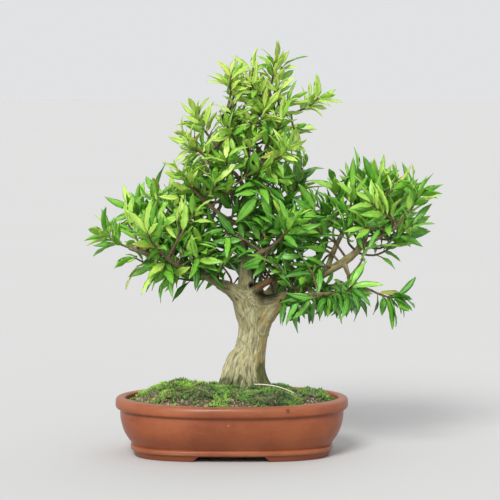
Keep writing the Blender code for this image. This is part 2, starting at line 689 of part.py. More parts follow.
def grow_shoots():
    """Every shoot as a record: name, line of its twig, direction at its seat, and its leaves."""
    space = Space()
    space.add("limbs", trunk_shape(CLEAR), trunk_shape(CLEAR))
    for points in LIMBS.values():
        line = [(Vector(point[:3]), point[3]) for point in points]
        shape = tube_shape(line, 8, 2 * CLEAR)
        space.add("limbs", shape, shape)
    seats = limb_seats()
    used = []
    shoots = []
    for number, (name, target, own_seat) in enumerate(shoot_plan()):
        choice = [own_seat] if own_seat else seats
        shoot = grow_twig(random.Random(SEED + 100 * number), name, choice, used, target, space)
        if shoot:
            shoots.append((name, *shoot))
    grown = []
    for number, (name, line, out) in enumerate(shoots):
        leaves = grow_leaves(SEED + 5000 + 100 * number, name, line, space)
        grown.append((name, line, out, leaves))
    return grown


def grow_twig(rng, name, seats, used, target, space):
    """The first clear shoot among the best seats for a target."""
    ranked = sorted(seats, key=lambda seat: seat_cost(seat, target, used))
    for seat in ranked[:12]:
        line, out = twig_line(rng, seat, target)
        whole = tube_shape(line, 5, CLEAR)
        collar = [(line[0][0].lerp(line[1][0], 0.45), line[0][1])] + line[1:]
        free = tube_shape(collar, 5, CLEAR)
        if space.clear(name, whole, free):
            used.append(seat[0])
            space.add("twig " + name, whole, whole)
            return line, out
    return None


def grow_leaves(seed, name, line, space):
    leaves = []
    droop = min(0.9, max(0.1, (DROOP_FROM - line[-1][0].z) / DROOP_SPAN))
    for number, station in enumerate(LEAF_STATIONS):
        turn = number * math.pi / 2 + (seed % 7)
        sides = (1, -1) if station < TIP_STATION else (1,)
        for side in sides:
            rng = random.Random(seed + 2 * number + side)
            for attempt in range(LEAF_TRIES):
                leaf = leaf_trial(rng, line, station, side, turn, droop, 0.06 * attempt)
                whole = leaf_shape(leaf, CLEAR)
                free = leaf_shape(leaf, CLEAR, 0.16)
                if space.clear(name, whole, free):
                    space.add(name, whole, free)
                    leaves.append(leaf)
                    break
    return leaves


def seat_on(tree, line, out):
    """Set a shoot's foot flat on the bark, a hair clear of it, with a short straight collar."""
    start = line[0][0]
    spot, normal, _, _ = tree.ray_cast(start + out * 0.012, -out, 0.05)
    if spot is None or (spot - start).length > 0.004:
        spot, normal, _, _ = tree.find_nearest(start)
    foot = spot + normal * GAP
    collar = foot + normal * 0.0022
    rest = [point for point in line[1:] if (point[0] - collar).length > 0.004]
    return [(foot, line[0][1]), (collar, line[0][1])] + rest


def build_shoot(shoot, tree, parts):
    name, line, out, leaves = shoot
    twig = link(name, tube_mesh(name, seat_on(tree, line, out), 0), LEAF_GREEN, parts)
    blades = [mesh_of(name, *leaf_shape(leaf)) for leaf in leaves]
    if blades:
        join_repeats(twig, blades)
    return twig


def evaluated_tree(thing):
    bpy.context.view_layer.update()
    graph = bpy.context.evaluated_depsgraph_get()
    return BVHTree.FromObject(thing, graph)


def stand_on_centre(parts):
    """Hang every piece on one empty that brings the middle of the whole box over the origin."""
    bpy.context.view_layer.update()
    graph = bpy.context.evaluated_depsgraph_get()
    corners = []
    for piece in parts.objects:
        corners += [vert.co.copy() for vert in piece.evaluated_get(graph).data.vertices]
    root = bpy.data.objects.new("bonsai", None)
    parts.objects.link(root)
    for axis in range(2):
        values = [corner[axis] for corner in corners]
        root.location[axis] = -(min(values) + max(values)) / 2
    for piece in parts.objects:
        if piece is not root:
            piece.parent = root
    return root


def follow(cutters, root):
    for cutter in cutters.objects:
        cutter.parent = root


def main():
    clear_scene()
    parts = bpy.data.collections.new("pomegranate_bonsai")
    cutters = bpy.data.collections.new("cutters")
    for group in (parts, cutters):
        bpy.context.scene.collection.children.link(group)
    build_pot(parts, cutters)
    build_drain_mesh("drain_mesh_left", -DRAIN_X, parts)
    build_drain_mesh("drain_mesh_right", DRAIN_X, parts)
    soil = build_soil(parts, cutters)
    SOIL_TREE.append(evaluated_tree(soil))
    cover = soil_cover(soil, cutters)
    for patch in MOSS:
        build_moss(*patch, cover, parts)
    build_grass(parts)
    trunk = build_trunk(parts)
    bark = evaluated_tree(trunk)
    for shoot in grow_shoots():
        build_shoot(shoot, bark, parts)
    follow(cutters, stand_on_centre(parts))


main()
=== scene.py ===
import json
import math
import random
from itertools import product

import bmesh
import bpy
import numpy as np
from mathutils import Matrix, Vector, noise
from mathutils.bvhtree import BVHTree
from mathutils.kdtree import KDTree

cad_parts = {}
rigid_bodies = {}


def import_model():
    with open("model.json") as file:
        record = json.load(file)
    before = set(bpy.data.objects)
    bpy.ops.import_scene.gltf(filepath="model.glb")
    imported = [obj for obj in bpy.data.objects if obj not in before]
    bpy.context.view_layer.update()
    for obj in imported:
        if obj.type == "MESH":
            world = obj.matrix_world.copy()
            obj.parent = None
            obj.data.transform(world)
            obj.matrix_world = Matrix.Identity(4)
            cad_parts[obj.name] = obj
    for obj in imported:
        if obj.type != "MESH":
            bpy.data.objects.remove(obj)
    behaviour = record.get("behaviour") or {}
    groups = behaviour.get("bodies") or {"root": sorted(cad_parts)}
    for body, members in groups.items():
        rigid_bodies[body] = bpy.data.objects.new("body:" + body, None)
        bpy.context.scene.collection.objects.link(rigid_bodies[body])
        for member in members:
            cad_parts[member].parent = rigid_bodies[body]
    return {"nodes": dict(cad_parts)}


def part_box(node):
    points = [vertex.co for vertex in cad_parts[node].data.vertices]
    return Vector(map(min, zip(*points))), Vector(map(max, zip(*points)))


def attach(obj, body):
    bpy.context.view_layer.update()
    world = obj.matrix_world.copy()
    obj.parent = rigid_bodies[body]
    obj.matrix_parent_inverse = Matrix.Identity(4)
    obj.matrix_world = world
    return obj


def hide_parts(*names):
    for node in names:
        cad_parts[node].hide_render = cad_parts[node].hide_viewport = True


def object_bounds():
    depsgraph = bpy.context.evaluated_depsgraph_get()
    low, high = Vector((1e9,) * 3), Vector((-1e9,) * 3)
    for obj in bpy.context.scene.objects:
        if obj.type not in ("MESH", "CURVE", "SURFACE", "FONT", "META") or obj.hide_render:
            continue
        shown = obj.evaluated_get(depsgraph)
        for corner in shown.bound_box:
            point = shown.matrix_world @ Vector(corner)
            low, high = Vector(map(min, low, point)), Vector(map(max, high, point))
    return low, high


# Setting: a pomegranate bonsai in its pot, seen a little from above by a long lens in soft daylight.
# Everything below is measured from the middle of the pot's foot, in metres where nothing else is said, and
# each piece is shifted there when it is set.
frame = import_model()
cad_low, cad_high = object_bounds()
pot_low, pot_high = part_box("pot")
MIDDLE = Vector(((pot_low.x + pot_high.x) / 2, (pot_low.y + pot_high.y) / 2, 0.0))


def add_node(tree, kind, inputs=None, **settings):
    """A node with its settings; an input is given a value or joined to another node's output."""
    node = tree.nodes.new(kind)
    for key, value in settings.items():
        setattr(node, key, value)
    for key, value in (inputs or {}).items():
        if isinstance(value, bpy.types.NodeSocket):
            tree.links.new(value, node.inputs[key])
        else:
            node.inputs[key].default_value = value
    return node


def new_finish(name, **fixed):
    """A material with its shader; fixed values go straight on the shader's sockets."""
    finish = bpy.data.materials.new(name)
    finish.use_nodes = True
    shader = finish.node_tree.nodes["Principled BSDF"]
    for key, value in fixed.items():
        shader.inputs[key.replace("_", " ")].default_value = value
    return finish, finish.node_tree, shader


def stretched(tree, place, scale):
    return add_node(tree, "ShaderNodeMapping", {"Vector": place, "Scale": scale}).outputs[0]


def place_in(tree, scale=(1.0, 1.0, 1.0)):
    """Where a point lies, measured from the middle of the pot's foot."""
    coords = add_node(tree, "ShaderNodeTexCoord").outputs["Object"]
    centred = add_node(tree, "ShaderNodeMapping", {"Vector": coords, "Location": -MIDDLE}).outputs[0]
    return stretched(tree, centred, scale)


def grain_of(tree, place, scale, detail=3.0, roughness=0.5, distortion=0.0):
    settings = {"Vector": place, "Scale": scale, "Detail": detail, "Roughness": roughness,
                "Distortion": distortion}
    return add_node(tree, "ShaderNodeTexNoise", settings).outputs["Fac"]


def mix(tree, share, first, second, how="MIX"):
    node = add_node(tree, "ShaderNodeMix", {0: share}, data_type="RGBA", blend_type=how)
    for slot, colour in ((6, first), (7, second)):
        if isinstance(colour, bpy.types.NodeSocket):
            tree.links.new(colour, node.inputs[slot])
        else:
            node.inputs[slot].default_value = (*colour, 1.0)
    return node.outputs[2]


def lead_to(tree, shader, **sources):
    """Joins each source to the shader's input of that name."""
    for key, source in sources.items():
        tree.links.new(source, shader.inputs[key.replace("_", " ")])


def link_up(name, data):
    """A new object in the scene, for a mesh, a lamp or the camera."""
    thing = bpy.data.objects.new(name, data)
    bpy.context.scene.collection.objects.link(thing)
    return thing


SENSOR = 36.0
LENS = 175.3
VIEWPOINT = Vector((0.021, -2.800, 0.465))
LOOKING_DOWN = 4.696                # degrees
camera = link_up("camera", bpy.data.cameras.new("camera"))
camera.data.sensor_width = SENSOR
camera.data.lens = LENS
camera.location = MIDDLE + VIEWPOINT
camera.rotation_euler = (math.radians(90.0 - LOOKING_DOWN), 0.0, 0.0)
bpy.context.scene.camera = camera

FLOOR_REACH = 20.0
table_top = bpy.data.meshes.new("pale_floor")
corners = [(x * FLOOR_REACH, y * FLOOR_REACH, 0.0) for x, y in ((-1, -1), (1, -1), (1, 1), (-1, 1))]
table_top.from_pydata(corners, [], [(0, 1, 2, 3)])
floor_finish, tree, shader = new_finish("pale_floor", Roughness=0.85)
clouding = grain_of(tree, place_in(tree), 1.3)
lead_to(tree, shader, Base_Color=mix(tree, clouding, (0.505, 0.500, 0.492), (0.525, 0.520, 0.512)))
table_top.materials.append(floor_finish)
link_up("pale_floor", table_top)

# Daylight from a wide window in front on the left and a weak one behind: place, strength, spread in degrees
WINDOWS = {"window": ((-0.40, -1.15, 1.05), 2.9, 22.0), "back_window": ((0.7, 1.0, 1.3), 0.3, 40.0)}
SKY_COLOUR = (0.97, 0.98, 1.0, 1.0)
SKY_STRENGTH = 0.78                 # with the windows it makes the floor as bright as the sky
for name, (place, strength, spread) in WINDOWS.items():
    lamp = link_up(name, bpy.data.lights.new(name, "SUN"))
    lamp.data.energy = strength
    lamp.data.angle = math.radians(spread)
    lamp.location = MIDDLE + Vector(place)
    lamp.rotation_euler = Vector(place).to_track_quat("Z", "Y").to_euler()
sky = bpy.data.worlds.new("soft_daylight")
sky.use_nodes = True
for key, value in (("Color", SKY_COLOUR), ("Strength", SKY_STRENGTH)):
    sky.node_tree.nodes["Background"].inputs[key].default_value = value
bpy.context.scene.world = sky
bpy.context.scene.view_settings.view_transform = "Standard"

# Pot: one piece of unglazed red-brown clay, pressed in a mould and fired. An oval wall bulges out under a
# rolled lip and draws in to a raised band over a foot ring, which is cut away into four feet. Its floor has
# two drain holes.


def metres(sizes):
    """Millimetres made metres: one size, a row of them or a whole table."""
    if isinstance(sizes, dict):
        return {name: metres(part) for name, part in sizes.items()}
    if isinstance(sizes, tuple):
        return tuple(metres(part) for part in sizes)
    return round(sizes / 1000, 7)


LIP_HALF_X = 0.135
LIP_HALF_Y = 0.098
POT_STEPS = 256
FLOOR_SIDES = 32
# The wall's section, in mm: how far in from the lip, height, and how far its rounding reaches
WALL_SECTION = metres(((11.5, 65.2, 3), (0.2, 65.2, 5.2), (0.2, 53.2, 3.6), (5.6, 52.4, 0.7),
                       (5.6, 42, 8), (9.8, 26.6, 11), (20.6, 13, 0.7), (18.2, 12.2, 1.2),
                       (18.4, 7.5, 1.3), (21.2, 6.8, 0.6), (22.8, 0, 0.8), (35, 0, 0.8), (35, 8, 0.8),
                       (30, 15, 1), (20, 26, 1), (14, 42, 1), (12.6, 55, 1)))
LIP_TOP = 0.0650
FULL_TO = 0.0125                    # from the lip down to here the outline's corners fill out
FULL_CORNERS = 1.0
CORNER_STEPS = 4
FOOT_HEIGHT = 0.0060
FOOT_ENDS_X = (0.0370, 0.0445)      # the front cut is full height within the first and gone past the second
FOOT_ENDS_Y = (0.0150, 0.0210)
FLOOR_BOTTOM = 0.0092
FLOOR_TOP = 0.0145
FLOOR_INSET = 0.0280
DRAIN_X = 0.055
DRAIN_RADIUS = 0.009
DRAIN_SIDES = 32
DRAIN_CUT = 0.03                    # the cutter reaches this high, well past the floor


def plain_mesh(name, verts, faces):
    mesh = bpy.data.meshes.new(name)
    mesh.from_pydata([tuple(vert) for vert in verts], [], faces)
    mesh.update()
    return mesh


def angles_round(count, start=0.0):
    return [2 * math.pi * (k + start) / count for k in range(count)]


def ring_faces(rings, steps, closed=False):
    """Four-sided faces between rings of points; closed, the last ring meets the first again."""
    faces = []
    for ring, k in product(range(rings if closed else rings - 1), range(steps)):
        j = (k + 1) % steps
        a, b = ring * steps, (ring + 1) % rings * steps
        faces.append((a + k, a + j, b + j, b + k))
    return faces


def solid_faces(rings, steps):
    """A bottom, a top and the rings between them."""
    last = (rings - 1) * steps
    return [tuple(reversed(range(steps))), tuple(range(last, last + steps))] + ring_faces(rings, steps)


def worked_mesh(thing):
    """The mesh of an object with its modifiers worked in; the object itself is removed."""
    bpy.context.view_layer.update()
    evaluated = thing.evaluated_get(bpy.context.evaluated_depsgraph_get())
    mesh = bpy.data.meshes.new_from_object(evaluated)
    bpy.data.objects.remove(thing, do_unlink=True)
    return mesh


def smooth_shade(mesh, sharp_from=None):
    mesh.polygons.foreach_set("use_smooth", [True] * len(mesh.polygons))
    if sharp_from:
        mesh.set_sharp_from_angle(angle=math.radians(sharp_from))


def set_piece(name, mesh, finish=None, nodes=()):
    mesh.transform(Matrix.Translation(MIDDLE))
    mesh.update()
    if finish:
        mesh.materials.clear()
        mesh.materials.append(finish)
    piece = link_up(name, mesh)
    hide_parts(*nodes)
    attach(piece, "root")
    return piece


def oval_point(angle, inset, z):
    """A point of the pot's outline, moved inwards; the ellipse gets fuller corners towards the base."""
    x = LIP_HALF_X * math.cos(angle)
    y = LIP_HALF_Y * math.sin(angle)
    across = Vector((x / LIP_HALF_X ** 2, y / LIP_HALF_Y ** 2)).normalized()
    power = 2 + FULL_CORNERS * min(1.0, max(0.0, (LIP_TOP - z) / (LIP_TOP - FULL_TO)))
    full = (abs(math.cos(angle)) ** power + abs(math.sin(angle)) ** power) ** (-1 / power)
    return (x - across.x * inset) * full, (y - across.y * inset) * full


def rounded_section(corners, steps):
    points = []
    for k, (inset, height, reach) in enumerate(corners):
        here = Vector((inset, height))
        back = Vector(corners[k - 1][:2]) - here
        ahead = Vector(corners[(k + 1) % len(corners)][:2]) - here
        start = here + back.normalized() * min(reach, back.length * 0.45)
        end = here + ahead.normalized() * min(reach, ahead.length * 0.45)
        for step in range(steps + 1):
            u = step / steps
            points.append(start * (1 - u) ** 2 + here * (2 * u * (1 - u)) + end * u * u)
    return points


def ease(value, low, high):
    """0 at low, 1 at high, smooth between."""
    share = min(1.0, max(0.0, (value - low) / (high - low)))
    return share * share * (3 - 2 * share)


def wall_point(angle, inset, height):
    x, y = oval_point(angle, inset, height)
    cut = max(ease(abs(x), FOOT_ENDS_X[1], FOOT_ENDS_X[0]), ease(abs(y), FOOT_ENDS_Y[1], FOOT_ENDS_Y[0]))
    uneven = 0.00025 * noise.noise(Vector((x * 30, y * 30, height * 40)))
    return x + uneven, y + uneven, max(height, FOOT_HEIGHT * cut)


def swept_wall():
    section = rounded_section(WALL_SECTION, CORNER_STEPS)
    verts = [wall_point(angle, *point) for angle in angles_round(POT_STEPS, 0.5) for point in section]
    return plain_mesh("clay_pot", verts, ring_faces(POT_STEPS, len(section), closed=True))


def plate_up(name, outline, low, high):
    verts = [(x, y, z) for z in (low, high) for x, y in outline]
    return link_up(name, plain_mesh(name, verts, solid_faces(2, len(outline))))


pot = link_up("clay_pot", swept_wall())
outline = [oval_point(angle, FLOOR_INSET, FLOOR_TOP) for angle in angles_round(FLOOR_SIDES, 0.5)]
tools = [("UNION", plate_up("pot_floor", outline, FLOOR_BOTTOM, FLOOR_TOP))]
for side in (-1, 1):
    ring = [(side * DRAIN_X + DRAIN_RADIUS * math.cos(angle), DRAIN_RADIUS * math.sin(angle))
            for angle in angles_round(DRAIN_SIDES)]
    tools.append(("DIFFERENCE", plate_up("drain_hole", ring, 0.0, DRAIN_CUT)))
for operation, tool in tools:
    joint = pot.modifiers.new("join", "BOOLEAN")
    joint.operation = operation
    joint.solver = "EXACT"
    joint.object = tool
pot_mesh = worked_mesh(pot)
for operation, tool in tools:
    bpy.data.objects.remove(tool, do_unlink=True)
smooth_shade(pot_mesh, 40)


def tone(red, green, blue):
    """A colour given as a screen shows it, 0 to 255, in the shader's own numbers."""
    shares = [value / 255 for value in (red, green, blue)]
    return tuple(share / 12.92 if share < 0.04 else ((share + 0.055) / 1.055) ** 2.4 for share in shares)


def calc(tree, operation, *values):
    return add_node(tree, "ShaderNodeMath", dict(enumerate(values)), operation=operation).outputs[0]


def span(tree, value, low, high, to_low=0.0, to_high=1.0):
    """The value's way from low to high, held to its ends."""
    return add_node(tree, "ShaderNodeMapRange", {"Value": value, "From Min": low, "From Max": high,
                                                 "To Min": to_low, "To Max": to_high}).outputs[0]


def ramp(tree, value, *stops):
    """Colours along a value: each stop is (where, colour)."""
    node = add_node(tree, "ShaderNodeValToRGB", {"Fac": value})
    elements = node.color_ramp.elements
    elements.remove(elements[1])
    elements[0].position = stops[0][0]
    elements[0].color = (*stops[0][1], 1.0)
    for where, colour in stops[1:]:
        elements.new(where).color = (*colour, 1.0)
    return node.outputs["Color"]


def raise_surface(tree, shader, height, distance, strength=1.0):
    bump = add_node(tree, "ShaderNodeBump", {"Height": height, "Distance": distance, "Strength": strength})
    lead_to(tree, shader, Normal=bump.outputs["Normal"])


def axis_of(tree, place, axis):
    return add_node(tree, "ShaderNodeSeparateXYZ", {"Vector": place}).outputs[axis]


clay, tree, shader = new_finish("fired_clay", IOR=1.45)
place = place_in(tree)
height = axis_of(tree, place, "Z")
clouds = grain_of(tree, place, 18.0, 4.0, 0.6)
smears = grain_of(tree, place_in(tree, (1.0, 1.0, 4.0)), 26.0, 5.0, 0.65, 0.4)
speckle = grain_of(tree, place, 900.0, 2.0)
body = ramp(tree, clouds, (0.30, tone(118, 57, 28)), (0.52, tone(137, 70, 37)), (0.75, tone(151, 83, 46)))
body = mix(tree, span(tree, smears, 0.52, 0.72, 0.0, 0.35), body, tone(150, 86, 54))
lip = span(tree, height, 0.0560, 0.0640)
band = calc(tree, "MULTIPLY", span(tree, height, 0.0070, 0.0080), span(tree, height, 0.0128, 0.0118))
worn = calc(tree, "MULTIPLY", calc(tree, "MAXIMUM", lip, band), span(tree, smears, 0.38, 0.60, 0.12, 0.60))
body = mix(tree, worn, body, tone(156, 100, 68))
# Darker towards the foot, over its lowest 7 mm
foot_darkening = calc(tree, "MULTIPLY", span(tree, height, 0.0070, 0.0000), span(tree, clouds, 0.35, 0.6, 0.2, 0.7))
body = mix(tree, foot_darkening, body, tone(88, 50, 36))
body = mix(tree, span(tree, speckle, 0.64, 0.72, 0.0, 0.30), body, tone(96, 50, 36))
body = mix(tree, span(tree, speckle, 0.36, 0.28, 0.0, 0.25), body, tone(182, 120, 88))
# The chip in the lip is not cut into the mesh: its dark patch is painted shade of the dent. The pale dot is
# the clay's own colour.
CHIP_SHADE_IN_LIP = (0.0640, -0.0890, 0.0610)
PALE_DOT = (-0.0035, -0.0922, 0.0446)
for spot, colour, low, high in ((CHIP_SHADE_IN_LIP, tone(64, 34, 24), 0.0036, 0.0018),
                                (PALE_DOT, tone(172, 112, 82), 0.0018, 0.0006)):
    away = add_node(tree, "ShaderNodeVectorMath", {0: place, 1: spot}, operation="DISTANCE").outputs["Value"]
    ragged = calc(tree, "ADD", away, span(tree, grain_of(tree, place, 420.0), 0.3, 0.7, -0.0012, 0.0012))
    body = mix(tree, span(tree, ragged, low, high, 0.0, 0.8), body, colour)
lead_to(tree, shader, Base_Color=body, Roughness=span(tree, smears, 0.3, 0.7, 0.30, 0.48))
drag = grain_of(tree, place_in(tree, (0.25, 0.25, 6.0)), 120.0, 2.0)
relief = calc(tree, "ADD", calc(tree, "MULTIPLY", speckle, 0.35), calc(tree, "MULTIPLY", drag, 0.65))
raise_surface(tree, shader, relief, 0.0006, 0.35)
set_piece("clay_pot", pot_mesh, clay, ["pot"])

# Drain meshes: two squares of black plastic lattice, laid loose over the holes before the soil went in.
# The modelled lattices stay and get their dusty, slightly glossy plastic.
plastic, tree, shader = new_finish("drain_plastic")
dusting = grain_of(tree, place_in(tree), 260.0, 4.0)
lead_to(tree, shader, Roughness=span(tree, dusting, 0.35, 0.7, 0.42, 0.80),
        Base_Color=ramp(tree, dusting, (0.40, (0.012, 0.012, 0.013)), (0.72, (0.075, 0.062, 0.048))))
raise_surface(tree, shader, dusting, 0.0003, 0.4)
for name in ("drain_mesh_left", "drain_mesh_right"):
    frame["nodes"][name].data.materials.clear()
    frame["nodes"][name].data.materials.append(plastic)

# Soil: a firm mound of grit and humus that fills the pot and stands a little above the lip.
# Loose grains, crumbs and a few reddish chips lie on it; bare at the left end, mossy elsewhere.
SOIL_EDGE = 0.0570
SOIL_MOUND = 0.0175
SOIL_RINGS = 78
SOIL_STEPS = 224
# Where the soil meets the pot's inside, in mm: how far in from the lip, and height
SOIL_UNDER = metres(((30.6, 14.9), (20.6, 26), (14.6, 42), (13.2, 55)))
GRAINS_PER_M2 = 210000.0
GRAIN_SIZES = (0.0006, 0.0017)


def lumps_at(x, y, per_metre, layer):
    return noise.noise(Vector((x * per_metre, y * per_metre, layer)))


def ground(x, y):
    """The soil's surface: the mound, its low waves, and the lumps that watering leaves."""
    edge = (x / (LIP_HALF_X - 0.012)) ** 2 + (y / (LIP_HALF_Y - 0.012)) ** 2
    mound = SOIL_MOUND * max(0.0, 1 - edge)
    waves = 0.0012 * math.sin(x * 71 + 0.6) * math.cos(y * 83 + 1.1)
    lumps = 0.0016 * lumps_at(x, y, 70, 0.3) + 0.0009 * lumps_at(x, y, 260, 1.7)
    return SOIL_EDGE + mound + waves + lumps


def dome_faces(rings, steps):
    """A bottom, the rings above it, and a fan to one last point."""
    last = (rings - 1) * steps
    fan = [(last + k, last + (k + 1) % steps, last + steps) for k in range(steps)]
    return [tuple(reversed(range(steps)))] + ring_faces(rings, steps) + fan


def set_numbers(mesh, name, values, kind="FLOAT"):
    """Stores one value a vertex on a mesh, for its material or its scatter to read."""
    stored = mesh.attributes.new(name, kind, "POINT")
    stored.data.foreach_set("vector" if kind == "FLOAT_VECTOR" else "value", np.array(values).ravel())


def soil_mesh():
    angles = angles_round(SOIL_STEPS)
    verts = [(*oval_point(angle, inset, z), z) for inset, z in SOIL_UNDER for angle in angles]
    for ring in range(SOIL_RINGS):
        share = (1 - ring / SOIL_RINGS) ** 0.85
        for angle in angles:
            x, y = (value * share for value in oval_point(angle, *SOIL_UNDER[-1]))
            verts.append((x, y, ground(x, y)))
    verts.append((0.0, 0.0, ground(0.0, 0.0)))
    mesh = plain_mesh("grit_soil", verts, dome_faces(len(SOIL_UNDER) + SOIL_RINGS, SOIL_STEPS))
    set_numbers(mesh, "cover", [float(k >= len(SOIL_UNDER) * SOIL_STEPS) for k in range(len(verts))])
    smooth_shade(mesh)
    return mesh


def shape_store(name, meshes):
    """A collection of small shapes for a scatter to pick from."""
    store = bpy.data.collections.new(name)
    for number, mesh in enumerate(meshes):
        store.objects.link(bpy.data.objects.new(f"{name}_{number}", mesh))
    return store


def empty_store(store):
    for thing in list(store.objects):
        bpy.data.objects.remove(thing, do_unlink=True)
    bpy.data.collections.remove(store)


def new_tree(name, sockets):
    """An empty geometry tree with named inputs, its input node and its output node."""
    made = bpy.data.node_groups.new(name, "GeometryNodeTree")
    made.interface.new_socket("Geometry", in_out="INPUT", socket_type="NodeSocketGeometry")
    for socket, kind in sockets:
        made.interface.new_socket(socket, in_out="INPUT", socket_type="NodeSocket" + kind)
    made.interface.new_socket("Geometry", in_out="OUTPUT", socket_type="NodeSocketGeometry")
    return made, add_node(made, "NodeGroupInput").outputs, add_node(made, "NodeGroupOutput")


def stored(tree, name, kind="FLOAT"):
    node = add_node(tree, "GeometryNodeInputNamedAttribute", {"Name": name}, data_type=kind)
    return node.outputs["Attribute"]


def random_between(tree, kind, low, high, seed):
    first = ("FLOAT_VECTOR", "FLOAT", "INT").index(kind)
    ends = {2 * first: low, 2 * first + 1: high, "Seed": seed}
    return add_node(tree, "FunctionNodeRandomValue", ends, data_type=kind).outputs[first]


def shapes_on(tree, points, store, which, turn, size):
    """One shape of a collection on each point."""
    shapes = add_node(tree, "GeometryNodeCollectionInfo",
                      {"Collection": store, "Separate Children": True, "Reset Children": True}).outputs[0]
    return add_node(tree, "GeometryNodeInstanceOnPoints",
                    {"Points": points, "Instance": shapes, "Pick Instance": True, "Instance Index": which,
                     "Rotation": turn, "Scale": size}).outputs[0]


def put_together(tree, *parts):
    both = add_node(tree, "GeometryNodeJoinGeometry")
    for part in parts:
        tree.links.new(part, both.inputs[0])
    return both.outputs[0]


def scatter_tree():
    """Strews shapes over a ground where its cover says so, and joins them to it."""
    tree, given, out = new_tree("strew", (("Shapes", "Collection"), ("Per square metre", "Float"),
                                          ("Smallest", "Float"), ("Largest", "Float"), ("Lean", "Float"),
                                          ("Seed", "Int"), ("Finish", "Material")))
    density = calc(tree, "MULTIPLY", stored(tree, "cover"), given["Per square metre"])
    points = add_node(tree, "GeometryNodeDistributePointsOnFaces",
                      {"Mesh": given["Geometry"], "Density": density, "Seed": given["Seed"]})
    back = calc(tree, "MULTIPLY", given["Lean"], -1.0)
    low, high = (add_node(tree, "ShaderNodeCombineXYZ", {0: tilt, 1: tilt, 2: about}).outputs[0]
                 for tilt, about in ((back, -math.pi), (given["Lean"], math.pi)))
    lean = random_between(tree, "FLOAT_VECTOR", low, high, given["Seed"])
    turn = add_node(tree, "FunctionNodeEulerToRotation", {0: lean}).outputs[0]
    turned = add_node(tree, "FunctionNodeRotateRotation", {0: points.outputs["Rotation"], 1: turn},
                      rotation_space="LOCAL").outputs[0]
    strewn = shapes_on(tree, points.outputs["Points"], given["Shapes"],
                       random_between(tree, "INT", 0, 99, 5), turned,
                       random_between(tree, "FLOAT", given["Smallest"], given["Largest"], 3))
    tint = random_between(tree, "FLOAT", 0.05, 1.0, 11)
    tinted = add_node(tree, "GeometryNodeStoreNamedAttribute",
                      {"Geometry": strewn, "Name": "tint", "Value": tint},
                      data_type="FLOAT", domain="INSTANCE").outputs[0]
    real = add_node(tree, "GeometryNodeRealizeInstances", {"Geometry": tinted}).outputs[0]
    done = add_node(tree, "GeometryNodeSetMaterial",
                    {"Geometry": put_together(tree, real, given["Geometry"]), "Material": given["Finish"]})
    tree.links.new(done.outputs[0], out.inputs[0])
    return tree


def grown_by(mesh, tree, **inputs):
    """The mesh after a geometry tree has worked on it; inputs go by the sockets' names."""
    thing = link_up(mesh.name, mesh)
    work = thing.modifiers.new("grow", "NODES")
    work.node_group = tree
    for socket in tree.interface.items_tree:
        if socket.in_out == "INPUT" and socket.name.replace(" ", "_") in inputs:
            work[socket.identifier] = inputs[socket.name.replace(" ", "_")]
    return worked_mesh(thing)


def grain_meshes(count):
    made = []
    for number in range(count):
        rng = random.Random(number)
        work = bmesh.new()
        bmesh.ops.create_icosphere(work, subdivisions=1, radius=1.0)
        for vert in work.verts:
            vert.co *= rng.uniform(0.72, 1.15)
            vert.co.z *= 0.35 if number == count - 1 else 0.75
        mesh = bpy.data.meshes.new("grain")
        work.to_mesh(mesh)
        work.free()
        made.append(mesh)
    return made


def marked(tree, name, kind="Fac"):
    """What a mesh carries at each point under a name."""
    return add_node(tree, "ShaderNodeAttribute", attribute_name=name).outputs[kind]


earth, tree, shader = new_finish("gritty_earth", Roughness=0.92)
place = place_in(tree)
tint = marked(tree, "tint")
crumbs = grain_of(tree, place, 240.0, 5.0, 0.65)
patches = grain_of(tree, place, 36.0, 3.0)
bare = ramp(tree, crumbs, (0.35, tone(46, 40, 24)), (0.55, tone(92, 84, 54)), (0.72, tone(136, 128, 92)))
bare = mix(tree, span(tree, patches, 0.44, 0.60, 0.0, 0.65), bare, tone(84, 92, 44))
grains = ramp(tree, tint, (0.0, tone(64, 50, 36)), (0.30, tone(104, 88, 64)), (0.55, tone(146, 130, 102)),
              (0.78, tone(178, 168, 142)), (0.90, tone(206, 198, 176)), (0.95, tone(146, 78, 48)))
grains = mix(tree, span(tree, crumbs, 0.35, 0.70, 0.0, 0.55), grains, tone(58, 48, 34))
lead_to(tree, shader, Base_Color=mix(tree, span(tree, tint, 0.01, 0.04), bare, grains))
raise_surface(tree, shader, crumbs, 0.0012, 0.8)

strew = scatter_tree()
grain_store = shape_store("grain", grain_meshes(5))
soil_full = grown_by(soil_mesh(), strew, Shapes=grain_store, Per_square_metre=GRAINS_PER_M2,
                     Smallest=GRAIN_SIZES[0], Largest=GRAIN_SIZES[1], Lean=math.pi, Seed=21, Finish=earth)
empty_store(grain_store)
set_piece("grit_soil", soil_full, None, ["soil"])

# Moss: living cushions that were pressed on the soil, and a thin creep of the same moss that has spread
# between them and up the foot of the trunk. Bright and tufty on the left; elsewhere the same moss has shade
# painted into its colour, darkest at the front right.
# Each cushion, in mm: the middle's x and y, half its length and width, thickness
MOSS = metres({"moss_left": (-70, 24, 39, 25, 9.5), "moss_front_left": (-30, -37, 26, 19, 6),
               "moss_front_right": (46, -45, 36, 18.5, 6.5), "moss_right": (96, 4, 17, 22, 6),
               "moss_back": (34, 66, 34, 11, 5.5)})
CUSHION_STEPS = 72
CUSHION_RINGS = 18
CUSHION_SUNK = 0.0020
CUSHION_RIM = 0.0012
TUFTS_PER_M2 = 300000.0
TUFT_SIZES = (0.0028, 0.0068)
TUFT_LEAVES = 8
GRASS_LINE_Y = -0.0245             # no moss creeps where the dry blade lies


